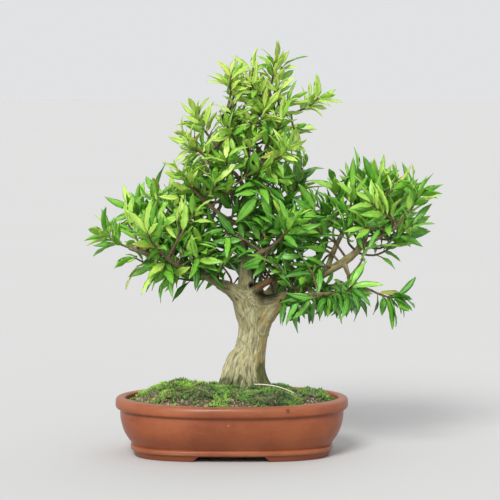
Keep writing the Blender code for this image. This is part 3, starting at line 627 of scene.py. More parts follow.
def cushion_mesh(name, x0, y0, half_x, half_y, thick):
    """A low cushion with a lumpy crown, its underside sunk into the soil."""
    verts = []
    rings = [(0, False)] + [(ring, True) for ring in range(CUSHION_RINGS)]
    for (ring, top), angle in product(rings, angles_round(CUSHION_STEPS)):
        share = 1 - ring / CUSHION_RINGS
        uneven = noise.noise(Vector((math.cos(angle) * 3, math.sin(angle) * 3, x0 * 50)))
        wobble = 1 + 0.07 * math.sin(3 * angle + x0 * 90) + 0.05 * uneven
        x = x0 + half_x * share * wobble * math.cos(angle)
        y = y0 + half_y * share * wobble * math.sin(angle)
        z = ground(x, y) - CUSHION_SUNK
        if top:
            crown = (thick - CUSHION_RIM) * (1 - share ** 2) * (1 + 0.22 * math.sin(5 * angle + y0 * 70))
            lumps = (0.0032 * lumps_at(x, y, 95, 4.0) + 0.0014 * lumps_at(x, y, 230, 2.0)) * (1 - share ** 4)
            z += CUSHION_SUNK + CUSHION_RIM + crown + lumps
        verts.append((x, y, z))
    verts.append((x0, y0, ground(x0, y0) + thick * 1.05))
    mesh = plain_mesh(name, verts, dome_faces(1 + CUSHION_RINGS, CUSHION_STEPS))
    lush = [0.10 + 0.90 * ease(lumps_at(x, y, 80, 6.0), -0.18, 0.14) for x, y, z in verts[CUSHION_STEPS:]]
    set_numbers(mesh, "cover", [0.0] * CUSHION_STEPS + lush)
    smooth_shade(mesh)
    return mesh


def tuft_meshes(count):
    """Little sprays of pointed moss leaves, each leaf a thin closed boat."""
    made = []
    for number in range(count):
        rng = random.Random(40 + number)
        verts, faces, tips = [], [], []
        for k in range(TUFT_LEAVES):
            turn = 2 * math.pi * (k / TUFT_LEAVES + rng.uniform(-0.05, 0.05))
            lean = rng.uniform(0.15, 0.95)
            long = rng.uniform(0.6, 1.0)
            out = Vector((math.cos(turn), math.sin(turn), 0))
            way = out * math.sin(lean) + Vector((0, 0, math.cos(lean)))
            side = Vector((-out.y, out.x, 0)) * 0.13
            middle = way * long * 0.45
            first = len(verts)
            verts += [Vector((0, 0, -0.15)), middle - side, middle + side, way * long - Vector((0, 0, 0.08)),
                      middle - way.cross(side).normalized() * 0.06]
            tips += [0.0, 0.55, 0.55, 1.0, 0.35]
            faces += [tuple(first + i for i in face) for face in
                      ((0, 2, 3), (0, 3, 1), (0, 1, 4), (1, 3, 4), (3, 2, 4), (2, 0, 4))]
        mesh = plain_mesh("tuft", verts, faces)
        set_numbers(mesh, "tip", tips)
        made.append(mesh)
    return made


def moss_finish(name, dark, green, bright):
    finish, tree, shader = new_finish(name, Roughness=0.80, Sheen_Weight=0.25, Sheen_Roughness=0.6)
    place = place_in(tree)
    tip, tint = marked(tree, "tip"), marked(tree, "tint")
    patches = grain_of(tree, place, 52.0, 4.0, 0.6)
    leaf = ramp(tree, tip, (0.0, dark), (0.55, green), (1.0, bright))
    leaf = mix(tree, span(tree, patches, 0.40, 0.56, 0.0, 0.9), mix(tree, 0.72, leaf, dark), leaf)
    drier = grain_of(tree, place, 34.0, 3.0, 0.6, 0.5)
    leaf = mix(tree, span(tree, drier, 0.52, 0.64, 0.0, 0.60), leaf, tone(96, 96, 48))
    leaf = mix(tree, span(tree, tint, 0.82, 0.97, 0.0, 0.6), leaf, tone(196, 190, 104))
    crumbs = grain_of(tree, place, 300.0, 4.0)
    under = ramp(tree, crumbs, (0.36, tone(38, 34, 20)), (0.54, tone(84, 78, 46)), (0.72, tone(128, 120, 84)))
    leaf = mix(tree, span(tree, tint, 0.005, 0.02), under, leaf)
    lead_to(tree, shader, Base_Color=leaf)
    raise_surface(tree, shader, crumbs, 0.0010, 0.7)
    return finish


bright_moss = moss_finish("bright_moss", tone(44, 84, 16), tone(126, 188, 44), tone(200, 236, 104))
# The same moss with painted shade: darker copies of the bright moss's colours
dark_moss = moss_finish("dark_moss", tone(28, 56, 16), tone(84, 146, 40), tone(150, 200, 80))
tuft_store = shape_store("tuft", tuft_meshes(4))


def tufted(mesh, density, sizes, lean, seed, finish):
    """A mesh with moss tufts strewn on it; density and sizes are shares of the usual ones."""
    return grown_by(mesh, strew, Shapes=tuft_store, Per_square_metre=TUFTS_PER_M2 * density,
                    Smallest=TUFT_SIZES[0] * sizes[0], Largest=TUFT_SIZES[1] * sizes[1], Lean=lean,
                    Seed=seed, Finish=finish)


# Only the left cushion has the moss without painted shade
for number, (name, sizes) in enumerate(MOSS.items()):
    finish = bright_moss if name == "moss_left" else dark_moss
    cushion = tufted(cushion_mesh(name, *sizes), 1.0, (1.0, 1.0), 0.45, 60 + number, finish)
    set_piece("tufted_" + name, cushion, None, [name])


CREEP_GRID = (150, 110)
CREEP_REACH = (0.120, 0.083)
CREEP_EDGE = (0.119, 0.082)
CREEP_SHARE = 0.62                  # of the tufts that grow on a cushion
TRUNK_FOOT = (0.017, 0.017)


def creep_mesh(left_side):
    """A film over the soil that carries the thin moss between the cushions, on one side of the trunk."""
    columns, rows = CREEP_GRID
    verts, cover = [], []
    for j, i in product(range(rows), range(columns)):
        x = (i / (columns - 1) * 2 - 1) * CREEP_REACH[0]
        y = (j / (rows - 1) * 2 - 1) * CREEP_REACH[1]
        inside = (x / CREEP_EDGE[0]) ** 2 + (y / CREEP_EDGE[1]) ** 2 < 1
        patch = ease(lumps_at(x, y, 48, 8.0) + 0.5 * lumps_at(x, y, 130, 3.0), 0.02, 0.34)
        foot = ease(math.hypot(x - TRUNK_FOOT[0], y - TRUNK_FOOT[1]), 0.055, 0.034) * 0.6
        bare_end = 0.15 + 0.85 * ease(x, -0.098, -0.074)
        share = ease(x, 0.012, -0.014) if left_side else ease(x, -0.014, 0.012)
        by_blade = ease(abs(y - GRASS_LINE_Y), 0.004, 0.010) if abs(x - 0.048) < 0.028 else 1.0
        cover.append(max(foot, patch) * bare_end * share * by_blade if inside else 0.0)
        verts.append((x, y, ground(x, y) - 0.0006 + 0.0030 * patch * bare_end * by_blade))
    squares = [(k, k + 1, k + columns + 1, k + columns)
               for k in (j * columns + i for j, i in product(range(rows - 1), range(columns - 1)))]
    faces = [square for square in squares if min(cover[square[0]], cover[square[2]]) > 0.0]
    mesh = plain_mesh("creeping_moss", verts, faces)
    set_numbers(mesh, "cover", cover)
    return mesh


# Right of the trunk the creep gets the moss with painted shade
for side, finish, seed in (("left", bright_moss, 77), ("right", dark_moss, 78)):
    creep = tufted(creep_mesh(side == "left"), CREEP_SHARE, (0.7, 0.9), 0.65, seed, finish)
    loose = bmesh.new()
    loose.from_mesh(creep)
    # The film itself goes: tufts have three-sided faces only
    film = [face for face in loose.faces if len(face.verts) == 4]
    bmesh.ops.delete(loose, geom=film, context="FACES")
    bmesh.ops.delete(loose, geom=[vert for vert in loose.verts if not vert.link_faces], context="VERTS")
    loose.to_mesh(creep)
    loose.free()
    set_piece("creeping_moss_" + side, creep)
empty_store(tuft_store)

# Dry blade: one bleached blade of grass that has fallen across the soil in front of the trunk.
# It bows up from both ends, is widest near its middle and has a soft crease along it.
# Points along it in mm: x, y and how high over the soil
GRASS = metres(((26, -22.5, 9.6), (36, -22.5, 10.2), (48, -24, 10.6), (60, -26.5, 8.8), (71, -27.5, 6.2)))
GRASS_HALF = 0.0020
GRASS_THICK = 0.0007


def drawn_through(rows, steps):
    """Rows of numbers with smooth steps put between them."""
    rows = np.array(rows, float)
    ends = np.vstack((2 * rows[0] - rows[1], rows, 2 * rows[-1] - rows[-2]))
    made = []
    for k in range(len(rows) - 1):
        a, b, c, d = ends[k:k + 4]
        for u in np.arange(steps) / steps:
            made.append(0.5 * (2 * b + (c - a) * u + (2 * a - 5 * b + 4 * c - d) * u * u
                               + (3 * b - a - 3 * c + d) * u ** 3))
    made.append(rows[-1])
    return np.array(made)


line = drawn_through([(x, y, ground(x, y) + lift) for x, y, lift in GRASS], 8)
verts = []
for k, (x, y, z) in enumerate(line):
    share = k / (len(line) - 1)
    half = GRASS_HALF * (0.25 + 0.75 * math.sin(math.pi * min(1.0, share * 0.85 + 0.15)))
    verts += [(x, y - half, z), (x, y, z - 0.0003), (x, y + half, z), (x, y, z + GRASS_THICK)]
faces = [(4 * k + i, 4 * k + 4 + i, 4 * k + 4 + (i + 1) % 4, 4 * k + (i + 1) % 4)
         for k, i in product(range(len(line) - 1), range(4))]
faces += [(0, 1, 2, 3), tuple(len(verts) - 1 - i for i in range(4))]
blade = plain_mesh("bleached_blade", verts, faces)
straw, tree, shader = new_finish("bleached_straw", Roughness=0.55)
fibres = grain_of(tree, place_in(tree, (0.12, 1.0, 1.0)), 2600.0, 3.0)
lead_to(tree, shader, Base_Color=ramp(tree, fibres, (0.35, tone(206, 198, 164)), (0.65, tone(246, 242, 226))))
raise_surface(tree, shader, fibres, 0.0002, 0.5)
set_piece("bleached_blade", blade, straw, ["dry_blade"])

# Trunk and branches: grown wood under a grey-tan, fluted bark with ochre patches. A buttress root runs down
# to the left, the first fork has a crotch darkened with painted shade, an old knot hole with painted shade
# inside it and a reddish pruned stub.
TRUNK = ((0.018, 0.018, 0.038, 0.0190, 0.02), (0.018, 0.018, 0.052, 0.0270, 0.08),
         (0.017, 0.017, 0.072, 0.0285, 0.16), (0.0155, 0.018, 0.084, 0.0250, 0.14),
         (0.0155, 0.018, 0.098, 0.0225, 0.12), (0.0215, 0.018, 0.117, 0.0178, 0.08),
         (0.0260, 0.018, 0.142, 0.0172, 0.07), (0.0245, 0.018, 0.160, 0.0196, 0.07),
         (0.0225, 0.018, 0.176, 0.0200, 0.06), (0.020, 0.018, 0.187, 0.0140, 0.03))
TRUNK_DEPTH = 0.88
TRUNK_AXIS_TOP = 0.19              # above it the bark's grain follows the limbs
BARK_SIDES = 48
BARK_FLUTES = 0.30                 # fine flutes between the modelled ones
# Limbs: points in mm along each as (x, y, z, radius), from inside what it grows from to its tip
LIMBS = metres({
    "leader": ((19, 18, 172, 12), (15, 15, 211, 7.8), (13, 12, 240, 6.4), (11, 14, 275, 5.6),
               (7, 16, 290, 4.8)),
    "upper_left": ((8, 16, 284, 4), (-2, 9, 308, 2.9), (-7, 4, 334, 2.6), (-16, 8, 352, 2.1),
                   (-25, 9, 364, 1.6)),
    "apex": ((9, 15, 282, 4.2), (18, 20, 307, 3.4), (18, 22, 355, 3), (28, 20, 387, 2.5),
             (41, 14, 404, 2.1), (44, 10, 420, 1.5)),
    "apex_left": ((18, 21, 369, 2.8), (6, 10, 385, 2.2), (-4, 0, 396, 1.8), (-3, -4, 406, 1.4)),
    "apex_right": ((22, 22, 372, 2.4), (40, 30, 380, 1.9), (60, 34, 388, 1.5), (74, 31, 393, 1.3)),
    "upper_right": ((18, 20, 318, 2.6), (32, 4, 330, 2), (45, -11, 338, 1.5)),
    "upper_back": ((17, 21, 300, 3), (6, 46, 318, 2.2), (-8, 66, 330, 1.6)),
    "left": ((12, 15, 178, 8), (-7, 8, 190, 5.2), (-28, 0, 203, 4.4), (-45, -6, 212, 3.8),
             (-71, -14, 222, 3.4), (-103, -16, 234, 3), (-118, -14, 239, 2.4)),
    "left_up": ((-30, -1, 203, 3.4), (-40, 6, 221, 2.9), (-54, 14, 248, 2.4), (-72, 20, 262, 1.9),
                (-90, 22, 268, 1.5)),
    "left_front": ((-44, -6, 211, 3), (-55, -25, 214, 2.4), (-68, -45, 225, 1.9), (-80, -60, 238, 1.4)),
    "left_back": ((-46, 10, 234, 2.6), (-48, 34, 244, 2.2), (-58, 58, 256, 1.7), (-66, 76, 268, 1.3)),
    "mid_left": ((14, 14, 262, 3.2), (-4, 2, 270, 2.6), (-22, -10, 284, 2.1), (-38, -18, 300, 1.5)),
    "right": ((32, 18, 170, 10.5), (52, 12, 175, 8.8), (72, 2, 184, 6.8), (89, -4, 197, 5.8),
              (107, -8, 209, 5.2), (127, -8, 221, 4.8), (142, -4, 232, 4.4), (154, 0, 249, 3.4),
              (155, 4, 267, 2.6), (162, 6, 288, 1.8)),
    "right_mid": ((109, -7, 212, 3.4), (120, 10, 238, 2.8), (133, 24, 262, 2.3), (138, 30, 282, 1.7)),
    "right_twig": ((129, -9, 222, 3), (136, -18, 204, 2.2), (146, -21, 196, 1.8), (161, -24, 190, 1.4)),
    "right_out": ((145, -4, 236, 3), (166, -15, 249, 2.3), (186, -22, 262, 1.7), (198, -24, 276, 1.3)),
    "right_back": ((134, 25, 264, 2.4), (152, 46, 270, 1.9), (172, 60, 280, 1.4)),
    "centre_back": ((34, 22, 172, 7), (50, 36, 192, 5), (56, 48, 230, 3.8), (57, 55, 258, 2.8),
                    (66, 62, 282, 1.8)),
    "centre_right": ((56, 50, 236, 3), (74, 44, 246, 2.4), (92, 34, 256, 1.7)),
    "centre_front": ((15, 14, 222, 3.6), (28, -6, 230, 3), (44, -26, 240, 2.3), (56, -42, 252, 1.5)),
    "front_low": ((64, 5, 181, 3.8), (78, -22, 184, 2.8), (96, -42, 188, 2.1), (112, -54, 190, 1.4)),
    "pruned_stub": ((26, 10, 184, 4.6), (33, -2, 193, 4.2), (45, -12, 202, 3.8)),
    "bare_stub": ((-11, 5, 346, 2), (-22, -10, 324, 1.8), (-37, -20, 344, 1.6)),
})
# Swellings that only the eye needs, in mm: the buttress root and the soft shoulders of the first fork
SWELLINGS = metres({
    "left_root": ((10, 12, 118, 6), (3, 9, 108, 8.2), (-1, 7, 98, 8.6), (-4, 5, 88, 8.6),
                  (-8, 2, 76, 8.2), (-14, -1, 62, 6.8)),
    "right_shoulder": ((30, 18, 138, 13.5), (34.5, 17, 152, 13), (44, 15, 164, 11.5),
                       (58, 11, 176.5, 8.5)),
    "left_shoulder": ((16, 16, 166, 12), (10, 14, 178, 10.5), (-2, 10, 189, 8), (-16, 5, 195.5, 5.8)),
})
BARK_VOXEL = 0.00105
BARK_SOFTENED = 3                  # times the skin is smoothed
THIN_SWELL = 0.00030               # what the smoothing takes off a thin limb
KNOT = (0.0225, 0.1925)            # x and height of the knot hole
KNOT_RADIUS = 0.0040
KNOT_DEPTH = 0.0048
RIM_RISE = 0.0010
RIM_WIDTH = 0.0013
CROTCH = Vector((0.040, 0.004, 0.188))
THICK_WOOD = 0.009                 # radius from which the bark is fully furrowed
FURROW = 0.00075
THIN_FURROW = 0.00016              # at a radius of 3 mm


def tube_shape(points, sides, grow):
    """Rings round a line of (place, radius) points, as plain verts and faces."""
    verts = []
    for k, (place, radius) in enumerate(points):
        ahead = points[min(k + 1, len(points) - 1)][0] - points[max(k - 1, 0)][0]
        turn = ahead.to_track_quat("Z", "Y")
        verts += [place + turn @ (Vector((math.cos(angle), math.sin(angle), 0)) * (radius + grow))
                  for angle in angles_round(sides)]
    return verts, solid_faces(len(points), sides)


def trunk_rings(sections, sides, fine=0.0, grow=0.0):
    """Rings of points round the fluted trunk, for sections of (x, y, height, radius, depth of the flutes)."""
    verts = []
    for (x, y, z, radius, flute), angle in product(sections, angles_round(sides)):
        wave = 0.6 * math.cos(4 * angle + 0.7) + 0.4 * math.cos(3 * angle + 2.4 + z * 6)
        wave += fine * math.cos(9 * angle + 1.1 + z * 14)
        reach = radius * (1 + flute * wave) + grow
        verts.append((x + reach * math.cos(angle), y + TRUNK_DEPTH * reach * math.sin(angle), z))
    return verts


def joined(shapes):
    verts, faces = [], []
    for shape in shapes:
        faces += [tuple(len(verts) + i for i in face) for face in shape[1]]
        verts += list(shape[0])
    return verts, faces


def bark_mesh():
    """Trunk and limbs run together into one skin; also the axes, to lay the bark's grain along."""
    sections = drawn_through(TRUNK, 6)
    shapes = [(trunk_rings(sections, BARK_SIDES, BARK_FLUTES), solid_faces(len(sections), BARK_SIDES))]
    upright = Vector((0, 0, 1))
    axes = [(Vector(row[:3]), upright, row[3], row[2]) for row in sections if row[2] < TRUNK_AXIS_TOP]
    for name, points in (LIMBS | SWELLINGS).items():
        rng = random.Random(len(name) * 7 + int(points[0][0] * 1e4))
        rows = drawn_through(points, 5)
        spots = [Vector(row[:3]) for row in rows]
        line, along = [], 0.0
        for k, (spot, row) in enumerate(zip(spots, rows)):
            radius = row[3] * (1 + 0.06 * rng.uniform(-1, 1)) + (THIN_SWELL if row[3] < 0.003 else 0.0)
            line.append((spot, radius))
            before = spots[max(k - 1, 0)]
            ahead = spots[min(k + 1, len(rows) - 1)] - before
            along += (spot - before).length
            axes.append((spot, ahead.normalized(), row[3], along))
        shapes.append(tube_shape(line, 12, 0.0))
    thing = link_up("bark", plain_mesh("bark", *joined(shapes)))
    skin = thing.modifiers.new("skin", "REMESH")
    skin.mode = "VOXEL"
    skin.voxel_size = BARK_VOXEL
    skin.use_smooth_shade = True
    soft = thing.modifiers.new("soften", "SMOOTH")
    soft.factor = 0.5
    soft.iterations = BARK_SOFTENED
    return worked_mesh(thing), axes


def lay_bark(mesh, axes):
    """Cuts the bark's furrows, knot hole and rims into the skin, and stores what the colours need."""
    tree = KDTree(len(axes))
    for number, axis in enumerate(axes):
        tree.insert(axis[0], number)
    tree.balance()
    places = [vert.co.copy() for vert in mesh.vertices]
    skin = BVHTree.FromPolygons(places, [face.vertices for face in mesh.polygons])
    knot_front = skin.ray_cast(Vector((KNOT[0], -0.05, KNOT[1])), Vector((0, 1, 0)))[0]
    stub = [Vector(point[:3]) for point in LIMBS["pruned_stub"]]
    normals = [vert.normal.copy() for vert in mesh.vertices]
    grain, dark, red, thin = [], [], [], []
    for number, (spot, normal) in enumerate(zip(places, normals)):
        near = min(tree.find_n(spot, 3), key=lambda found: found[2] - axes[found[1]][2])
        centre, ahead, radius, along = axes[near[1]]
        local = ahead.to_track_quat("Z", "Y").inverted() @ (spot - centre)
        place = Vector((local.x, local.y, along + local.z))
        grain.append(place)
        rough = noise.fractal(Vector((place.x * 190, place.y * 190, place.z * 46)), 0.8, 2.1, 4)
        furrow = abs(noise.noise(Vector((place.x * 330, place.y * 330, place.z * 60 + 7))))
        depth = FURROW if radius > THICK_WOOD else THIN_FURROW * radius / 0.003
        flat = math.hypot((spot.x - KNOT[0]) * 1.15, spot.z - KNOT[1])
        in_front = spot.y < knot_front.y + 0.006
        hole = ease(flat, KNOT_RADIUS * 1.15, KNOT_RADIUS * 0.35) if in_front else 0.0
        rim = math.exp(-((flat - KNOT_RADIUS * 1.55) / RIM_WIDTH) ** 2) if in_front else 0.0
        places[number] = spot + normal * (depth * (rough * 0.8 + 0.35 - furrow) + RIM_RISE * rim)
        places[number].y += KNOT_DEPTH * hole
        # Painted shade: the crotch of the first fork and the inside of the knot hole are darkened
        crotch = ease((spot - CROTCH).length, 0.021, 0.009)
        nearest = min((spot - stub[1].lerp(stub[2], share)).length for share in (0.0, 0.33, 0.66, 1.0))
        red.append(ease(nearest, 0.0068, 0.0048))
        dark.append(max(hole, crotch * 0.8 * (1 - red[-1])))
        thin.append(ease(radius, 0.0034, 0.0018))
    mesh.vertices.foreach_set("co", np.array(places).ravel())
    for name, values in (("hollow", dark), ("pruned", red), ("young", thin)):
        set_numbers(mesh, name, values)
    set_numbers(mesh, "grain_place", [tuple(place) for place in grain], "FLOAT_VECTOR")
    smooth_shade(mesh)


wood, axes = bark_mesh()
lay_bark(wood, axes)

bark, tree, shader = new_finish("fluted_bark")
place = place_in(tree)
laid = marked(tree, "grain_place", "Vector")
height = axis_of(tree, place, "Z")
along = stretched(tree, laid, (1.0, 1.0, 0.16))
streaks = grain_of(tree, along, 420.0, 5.0, 0.62, 0.3)
fine = grain_of(tree, along, 1500.0, 3.0, 0.6)
patches = grain_of(tree, stretched(tree, laid, (1.0, 1.0, 0.4)), 120.0, 3.0, 0.55)
skin = ramp(tree, streaks, (0.34, tone(104, 96, 64)), (0.45, tone(158, 151, 110)),
            (0.58, tone(186, 181, 140)), (0.72, tone(208, 204, 168)))
rightward = span(tree, axis_of(tree, place, "X"), 0.016, 0.034, -0.10, 0.10)
ochre = span(tree, calc(tree, "ADD", patches, rightward), 0.50, 0.66, 0.0, 0.75)
skin = mix(tree, ochre, skin, tone(170, 146, 84))
skin = mix(tree, span(tree, patches, 0.42, 0.30, 0.0, 0.55), skin, tone(132, 140, 110))
skin = mix(tree, span(tree, fine, 0.62, 0.75, 0.0, 0.6), skin, tone(82, 74, 50))
upper = calc(tree, "MULTIPLY", span(tree, height, 0.140, 0.205), 0.62)
skin = mix(tree, upper, skin, ramp(tree, streaks, (0.36, tone(74, 70, 40)), (0.66, tone(140, 134, 88))))
skin = mix(tree, calc(tree, "MULTIPLY", marked(tree, "young"), 0.8), skin,
           ramp(tree, streaks, (0.35, tone(74, 62, 44)), (0.65, tone(134, 116, 86))))
skin = mix(tree, marked(tree, "pruned"), skin,
           ramp(tree, streaks, (0.35, tone(84, 62, 38)), (0.65, tone(146, 108, 66))))
mossy = calc(tree, "ADD", span(tree, height, 0.102, 0.080), span(tree, patches, 0.4, 0.62, -0.40, 0.40))
mossy = calc(tree, "ADD", mossy, calc(tree, "MULTIPLY", span(tree, rightward, 0.04, 0.09, 0.0, 0.7),
                                      span(tree, height, 0.122, 0.098)))
skin = mix(tree, span(tree, mossy, 0.35, 0.85, 0.0, 0.9), skin,
           ramp(tree, streaks, (0.35, tone(40, 50, 24)), (0.65, tone(94, 104, 52))))
# Painted shade in the knot hole and the fork's crotch
skin = mix(tree, marked(tree, "hollow"), skin, tone(24, 20, 14))
lead_to(tree, shader, Base_Color=skin, Roughness=span(tree, streaks, 0.3, 0.7, 0.92, 0.68))
relief = calc(tree, "ADD", calc(tree, "MULTIPLY", streaks, 0.7), calc(tree, "MULTIPLY", fine, 0.3))
raise_surface(tree, shader, relief, 0.0022, 1.0)
set_piece("fluted_trunk", wood, bark, ["trunk_and_branches"])

# Leafy shoots: thin reddish-brown twigs that spring from the limbs, with glossy lance-shaped leaves in
# pairs. Young leaves at the top are yellow-green, old ones inside and low down dark; the low ones hang.
# Leaves on the left and at the front, towards the window, are made lighter too: painted light.
SEED = 1304
# Leaf masses of the modelled shoots, in mm: name, centre, half sizes, and how many shoots reach into it
SHOOTS = (("apex", (22, 12, 412), (30, 34, 22), 3), ("upper_left", (-36, 10, 360), (16, 30, 16), 1),
          ("upper", (22, 10, 354), (40, 54, 30), 4), ("shoulder", (-24, 20, 316), (30, 52, 16), 2),
          ("left_top", (-84, 10, 276), (40, 50, 12), 2), ("left", (-68, 6, 250), (46, 62, 16), 4),
          ("left_low", (-58, -12, 222), (38, 44, 10), 2), ("centre", (46, 12, 266), (34, 64, 20), 3),
          ("centre_low", (48, -2, 224), (32, 54, 14), 2),
          ("right_top", (156, 14, 296), (42, 50, 14), 2), ("right", (160, 10, 262), (42, 54, 18), 3),
          ("low", (92, -20, 184), (36, 40, 10), 2))
# Side shoots that only the eye needs, in mm: centre and half sizes of each mass, and how many
SIDE_SHOOTS = (((36, 12, 436), (34, 30, 26), 6), ((32, 12, 392), (44, 44, 26), 10),
               ((40, 8, 350), (60, 52, 30), 13), ((-30, 10, 370), (34, 34, 26), 7),
               ((10, 8, 316), (50, 50, 22), 10), ((-66, 12, 288), (54, 50, 20), 10),
               ((-68, 4, 255), (62, 60, 22), 14), ((-60, -10, 222), (56, 44, 16), 10),
               ((56, 10, 275), (46, 58, 28), 15), ((62, 0, 228), (45, 52, 20), 11),
               ((166, 12, 308), (48, 44, 20), 9), ((170, 8, 272), (54, 50, 26), 13),
               ((108, -20, 186), (40, 38, 16), 9), ((40, 38, 206), (26, 16, 20), 7),
               ((-12, 12, 240), (28, 28, 20), 7))
TIP_REACH = 0.032
DROOP_FROM = 0.270
DROOP_SPAN = 0.090
SHOOT_LENGTH = (0.030, 0.060)
TWIG_BASE = 0.0015
TWIG_TIP = 0.0010
TWIG_SUNK = 0.0012                 # how deep a twig starts inside its limb
TWIG_FLARE = 1.25
TWIG_SAG = Vector((0, 0, -0.004))
TWIG_KINK = 0.0012
CROWDED = 0.010                    # shoots that spring closer together than this are avoided
LEAF_STATIONS = (0.36, 0.55, 0.75, 0.92, 0.985)
FILL_STATIONS = (0.20, 0.46, 0.65, 0.84)
TIP_STATION = 0.98
LEAF_LENGTH = (0.023, 0.032)
LEAF_SHARE = 0.30
LEAF_THICK = 0.0012
LEAF_TRIES = 10
SEAT_TRIES = 12
TARGET_TRIES = 14
AXIS_X = 0.020                     # the crown grows out from here
AXIS_Y = 0.015
CLEAR = 0.0005                     # left free round every modelled shoot and leaf
CELL = 0.03
ROOM_LEFT = 0.004                  # leaves stay this far inside the allowed growth of the modelled box
TRUNK_SIDES = 14                    # the modelled trunk's, which the shoots keep clear of
BARE_LIMBS = ("pruned_stub", "bare_stub", "leader")     # no shoot springs from these
FORK_WINDOW = (-0.004, 0.050, 0.170, 0.213)     # from x to x and from z to z
FORK_FRONT = 0.018


def trunk_shape(grow):
    """The modelled trunk, a little larger, for the shoots to keep clear of."""
    rings = trunk_rings(TRUNK, TRUNK_SIDES, 0.0, grow)
    verts = [(x, y, z - grow if z == TRUNK[0][2] else z) for x, y, z in rings]
    bottom, top, *sides = solid_faces(len(TRUNK), TRUNK_SIDES)
    return verts, [bottom, top] + [half for a, b, c, d in sides for half in ((a, b, c), (a, c, d))]


class Space:
    """The solids placed so far, found again by the cells of space that they touch."""

    def __init__(self):
        self.cells = {}

    def keys(self, verts):
        spans = []
        for axis in range(3):
            values = [vert[axis] for vert in verts]
            spans.append(range(math.floor(min(values) / CELL), math.floor(max(values) / CELL) + 1))
        return product(*spans)

    def add(self, owner, whole, free):
        item = (owner, BVHTree.FromPolygons(*whole), BVHTree.FromPolygons(*free))
        for key in self.keys(whole[0]):
            self.cells.setdefault(key, []).append(item)

    def clear(self, owner, whole, free):
        """True where the shape crosses nothing; its own shoot is tested away from the roots only."""
        tree, far = BVHTree.FromPolygons(*whole), BVHTree.FromPolygons(*free)
        seen = set()
        for key in self.keys(whole[0]):
            for item in self.cells.get(key, ()):
                if id(item) in seen or item[0] == "twig " + owner:
                    continue
                seen.add(id(item))
                own = item[0] in (owner, "limbs")
                if (far if own else tree).overlap(item[2] if own else item[1]):
                    return False
        return True


def leaf_shape(leaf, grow=0.0, start=0.0):
    """The room a leaf takes: a flat kite with a keel."""
    base, forward, up, length, bend = leaf
    side = forward.cross(up).normalized()
    half = LEAF_SHARE * length / 2
    verts = []
    for along, width, depth in ((start, 0.0004, 0.0006), (0.56, half, LEAF_THICK)):
        middle = base + forward * (along * length) - up * (bend * length * along * abs(along))
        width += grow
        verts += [middle - side * width + up * grow, middle + side * width + up * grow,
                  middle - up * (depth + grow)]
    verts.append(base + forward * (length + grow) - up * (bend * length))
    faces = [(0, 2, 1)]
    for k in range(3):
        j = (k + 1) % 3
        faces += [(k, 3 + j, 3 + k), (k, j, 3 + j), (3 + k, 3 + j, 6)]
    return verts, faces


def spread_points(rng, centre, half, count):
    """Seeded points in an egg-shaped mass given in mm, each the furthest of some trials from the others."""
    points = []
    for _ in range(count):
        best = None
        for _ in range(TARGET_TRIES):
            ball = Vector([rng.uniform(-1, 1) for _ in range(3)])
            if ball.length > 1:
                ball.normalize()
            trial = Vector(metres(centre)) + Vector([b * h for b, h in zip(ball, metres(half))])
            room = min([(trial - other).length for other in points] or [1.0])
            if best is None or room > best[0]:
                best = (room, trial)
        points.append(best[1])
    return points


def limb_seats():
    """Places along the limbs where a shoot may spring: (place, tangent, radius, whether at the tip)."""
    seats = []
    for name, points in LIMBS.items():
        if name in BARE_LIMBS:
            continue
        for k in range(len(points) - 1):
            start, end = Vector(points[k][:3]), Vector(points[k + 1][:3])
            tangent = (end - start).normalized()
            for step in range(4):
                share = step / 4 + 0.12
                if (k > 0 or share > 0.7) and (k < len(points) - 2 or share < 0.7):
                    radius = points[k][3] + (points[k + 1][3] - points[k][3]) * share
                    seats.append((start.lerp(end, share), tangent, radius, False))
    return seats


def seat_cost(seat, target, used):
    reach = target - seat[0]
    cost = abs(reach.length - SHOOT_LENGTH[0]) + 0.4 * max(0.0, seat[0].z - target.z)
    return cost + 0.03 * sum((other - seat[0]).length < CROWDED for other in used)


def twig_line(rng, seat, target):
    """A gently bent shoot from its seat to the target, as (place, radius) points."""
    place, tangent, radius, at_tip = seat
    reach = target - place
    if at_tip:
        out, start = tangent.copy(), place
    else:
        out = reach - tangent * reach.dot(tangent)
        out = out.normalized() if out.length > 0.003 else tangent.orthogonal().normalized()
        start = place + out * radius
    length = max(SHOOT_LENGTH[0], min(SHOOT_LENGTH[1], (target - start).length))
    end = start + (target - start).normalized() * length
    first = start + out * length * 0.36
    second = end - (end - first).normalized() * length * 0.3 + TWIG_SAG
    points = []
    for k in range(4):
        u = k / 3
        at = start * (1 - u) ** 3 + first * (3 * u * (1 - u) ** 2)
        at = at + second * (3 * u * u * (1 - u)) + end * u ** 3
        if 0 < k < 3:
            at += Vector([rng.uniform(-TWIG_KINK, TWIG_KINK) for _ in range(3)])
        points.append((at, TWIG_BASE + (TWIG_TIP - TWIG_BASE) * u))
    return points, out


def along_line(points, share):
    """The place and direction at a share of a line's length, by its points."""
    reach = share * (len(points) - 1)
    k = min(int(reach), len(points) - 2)
    start, end = points[k][0], points[k + 1][0]
    return start.lerp(end, reach - k), (end - start).normalized()


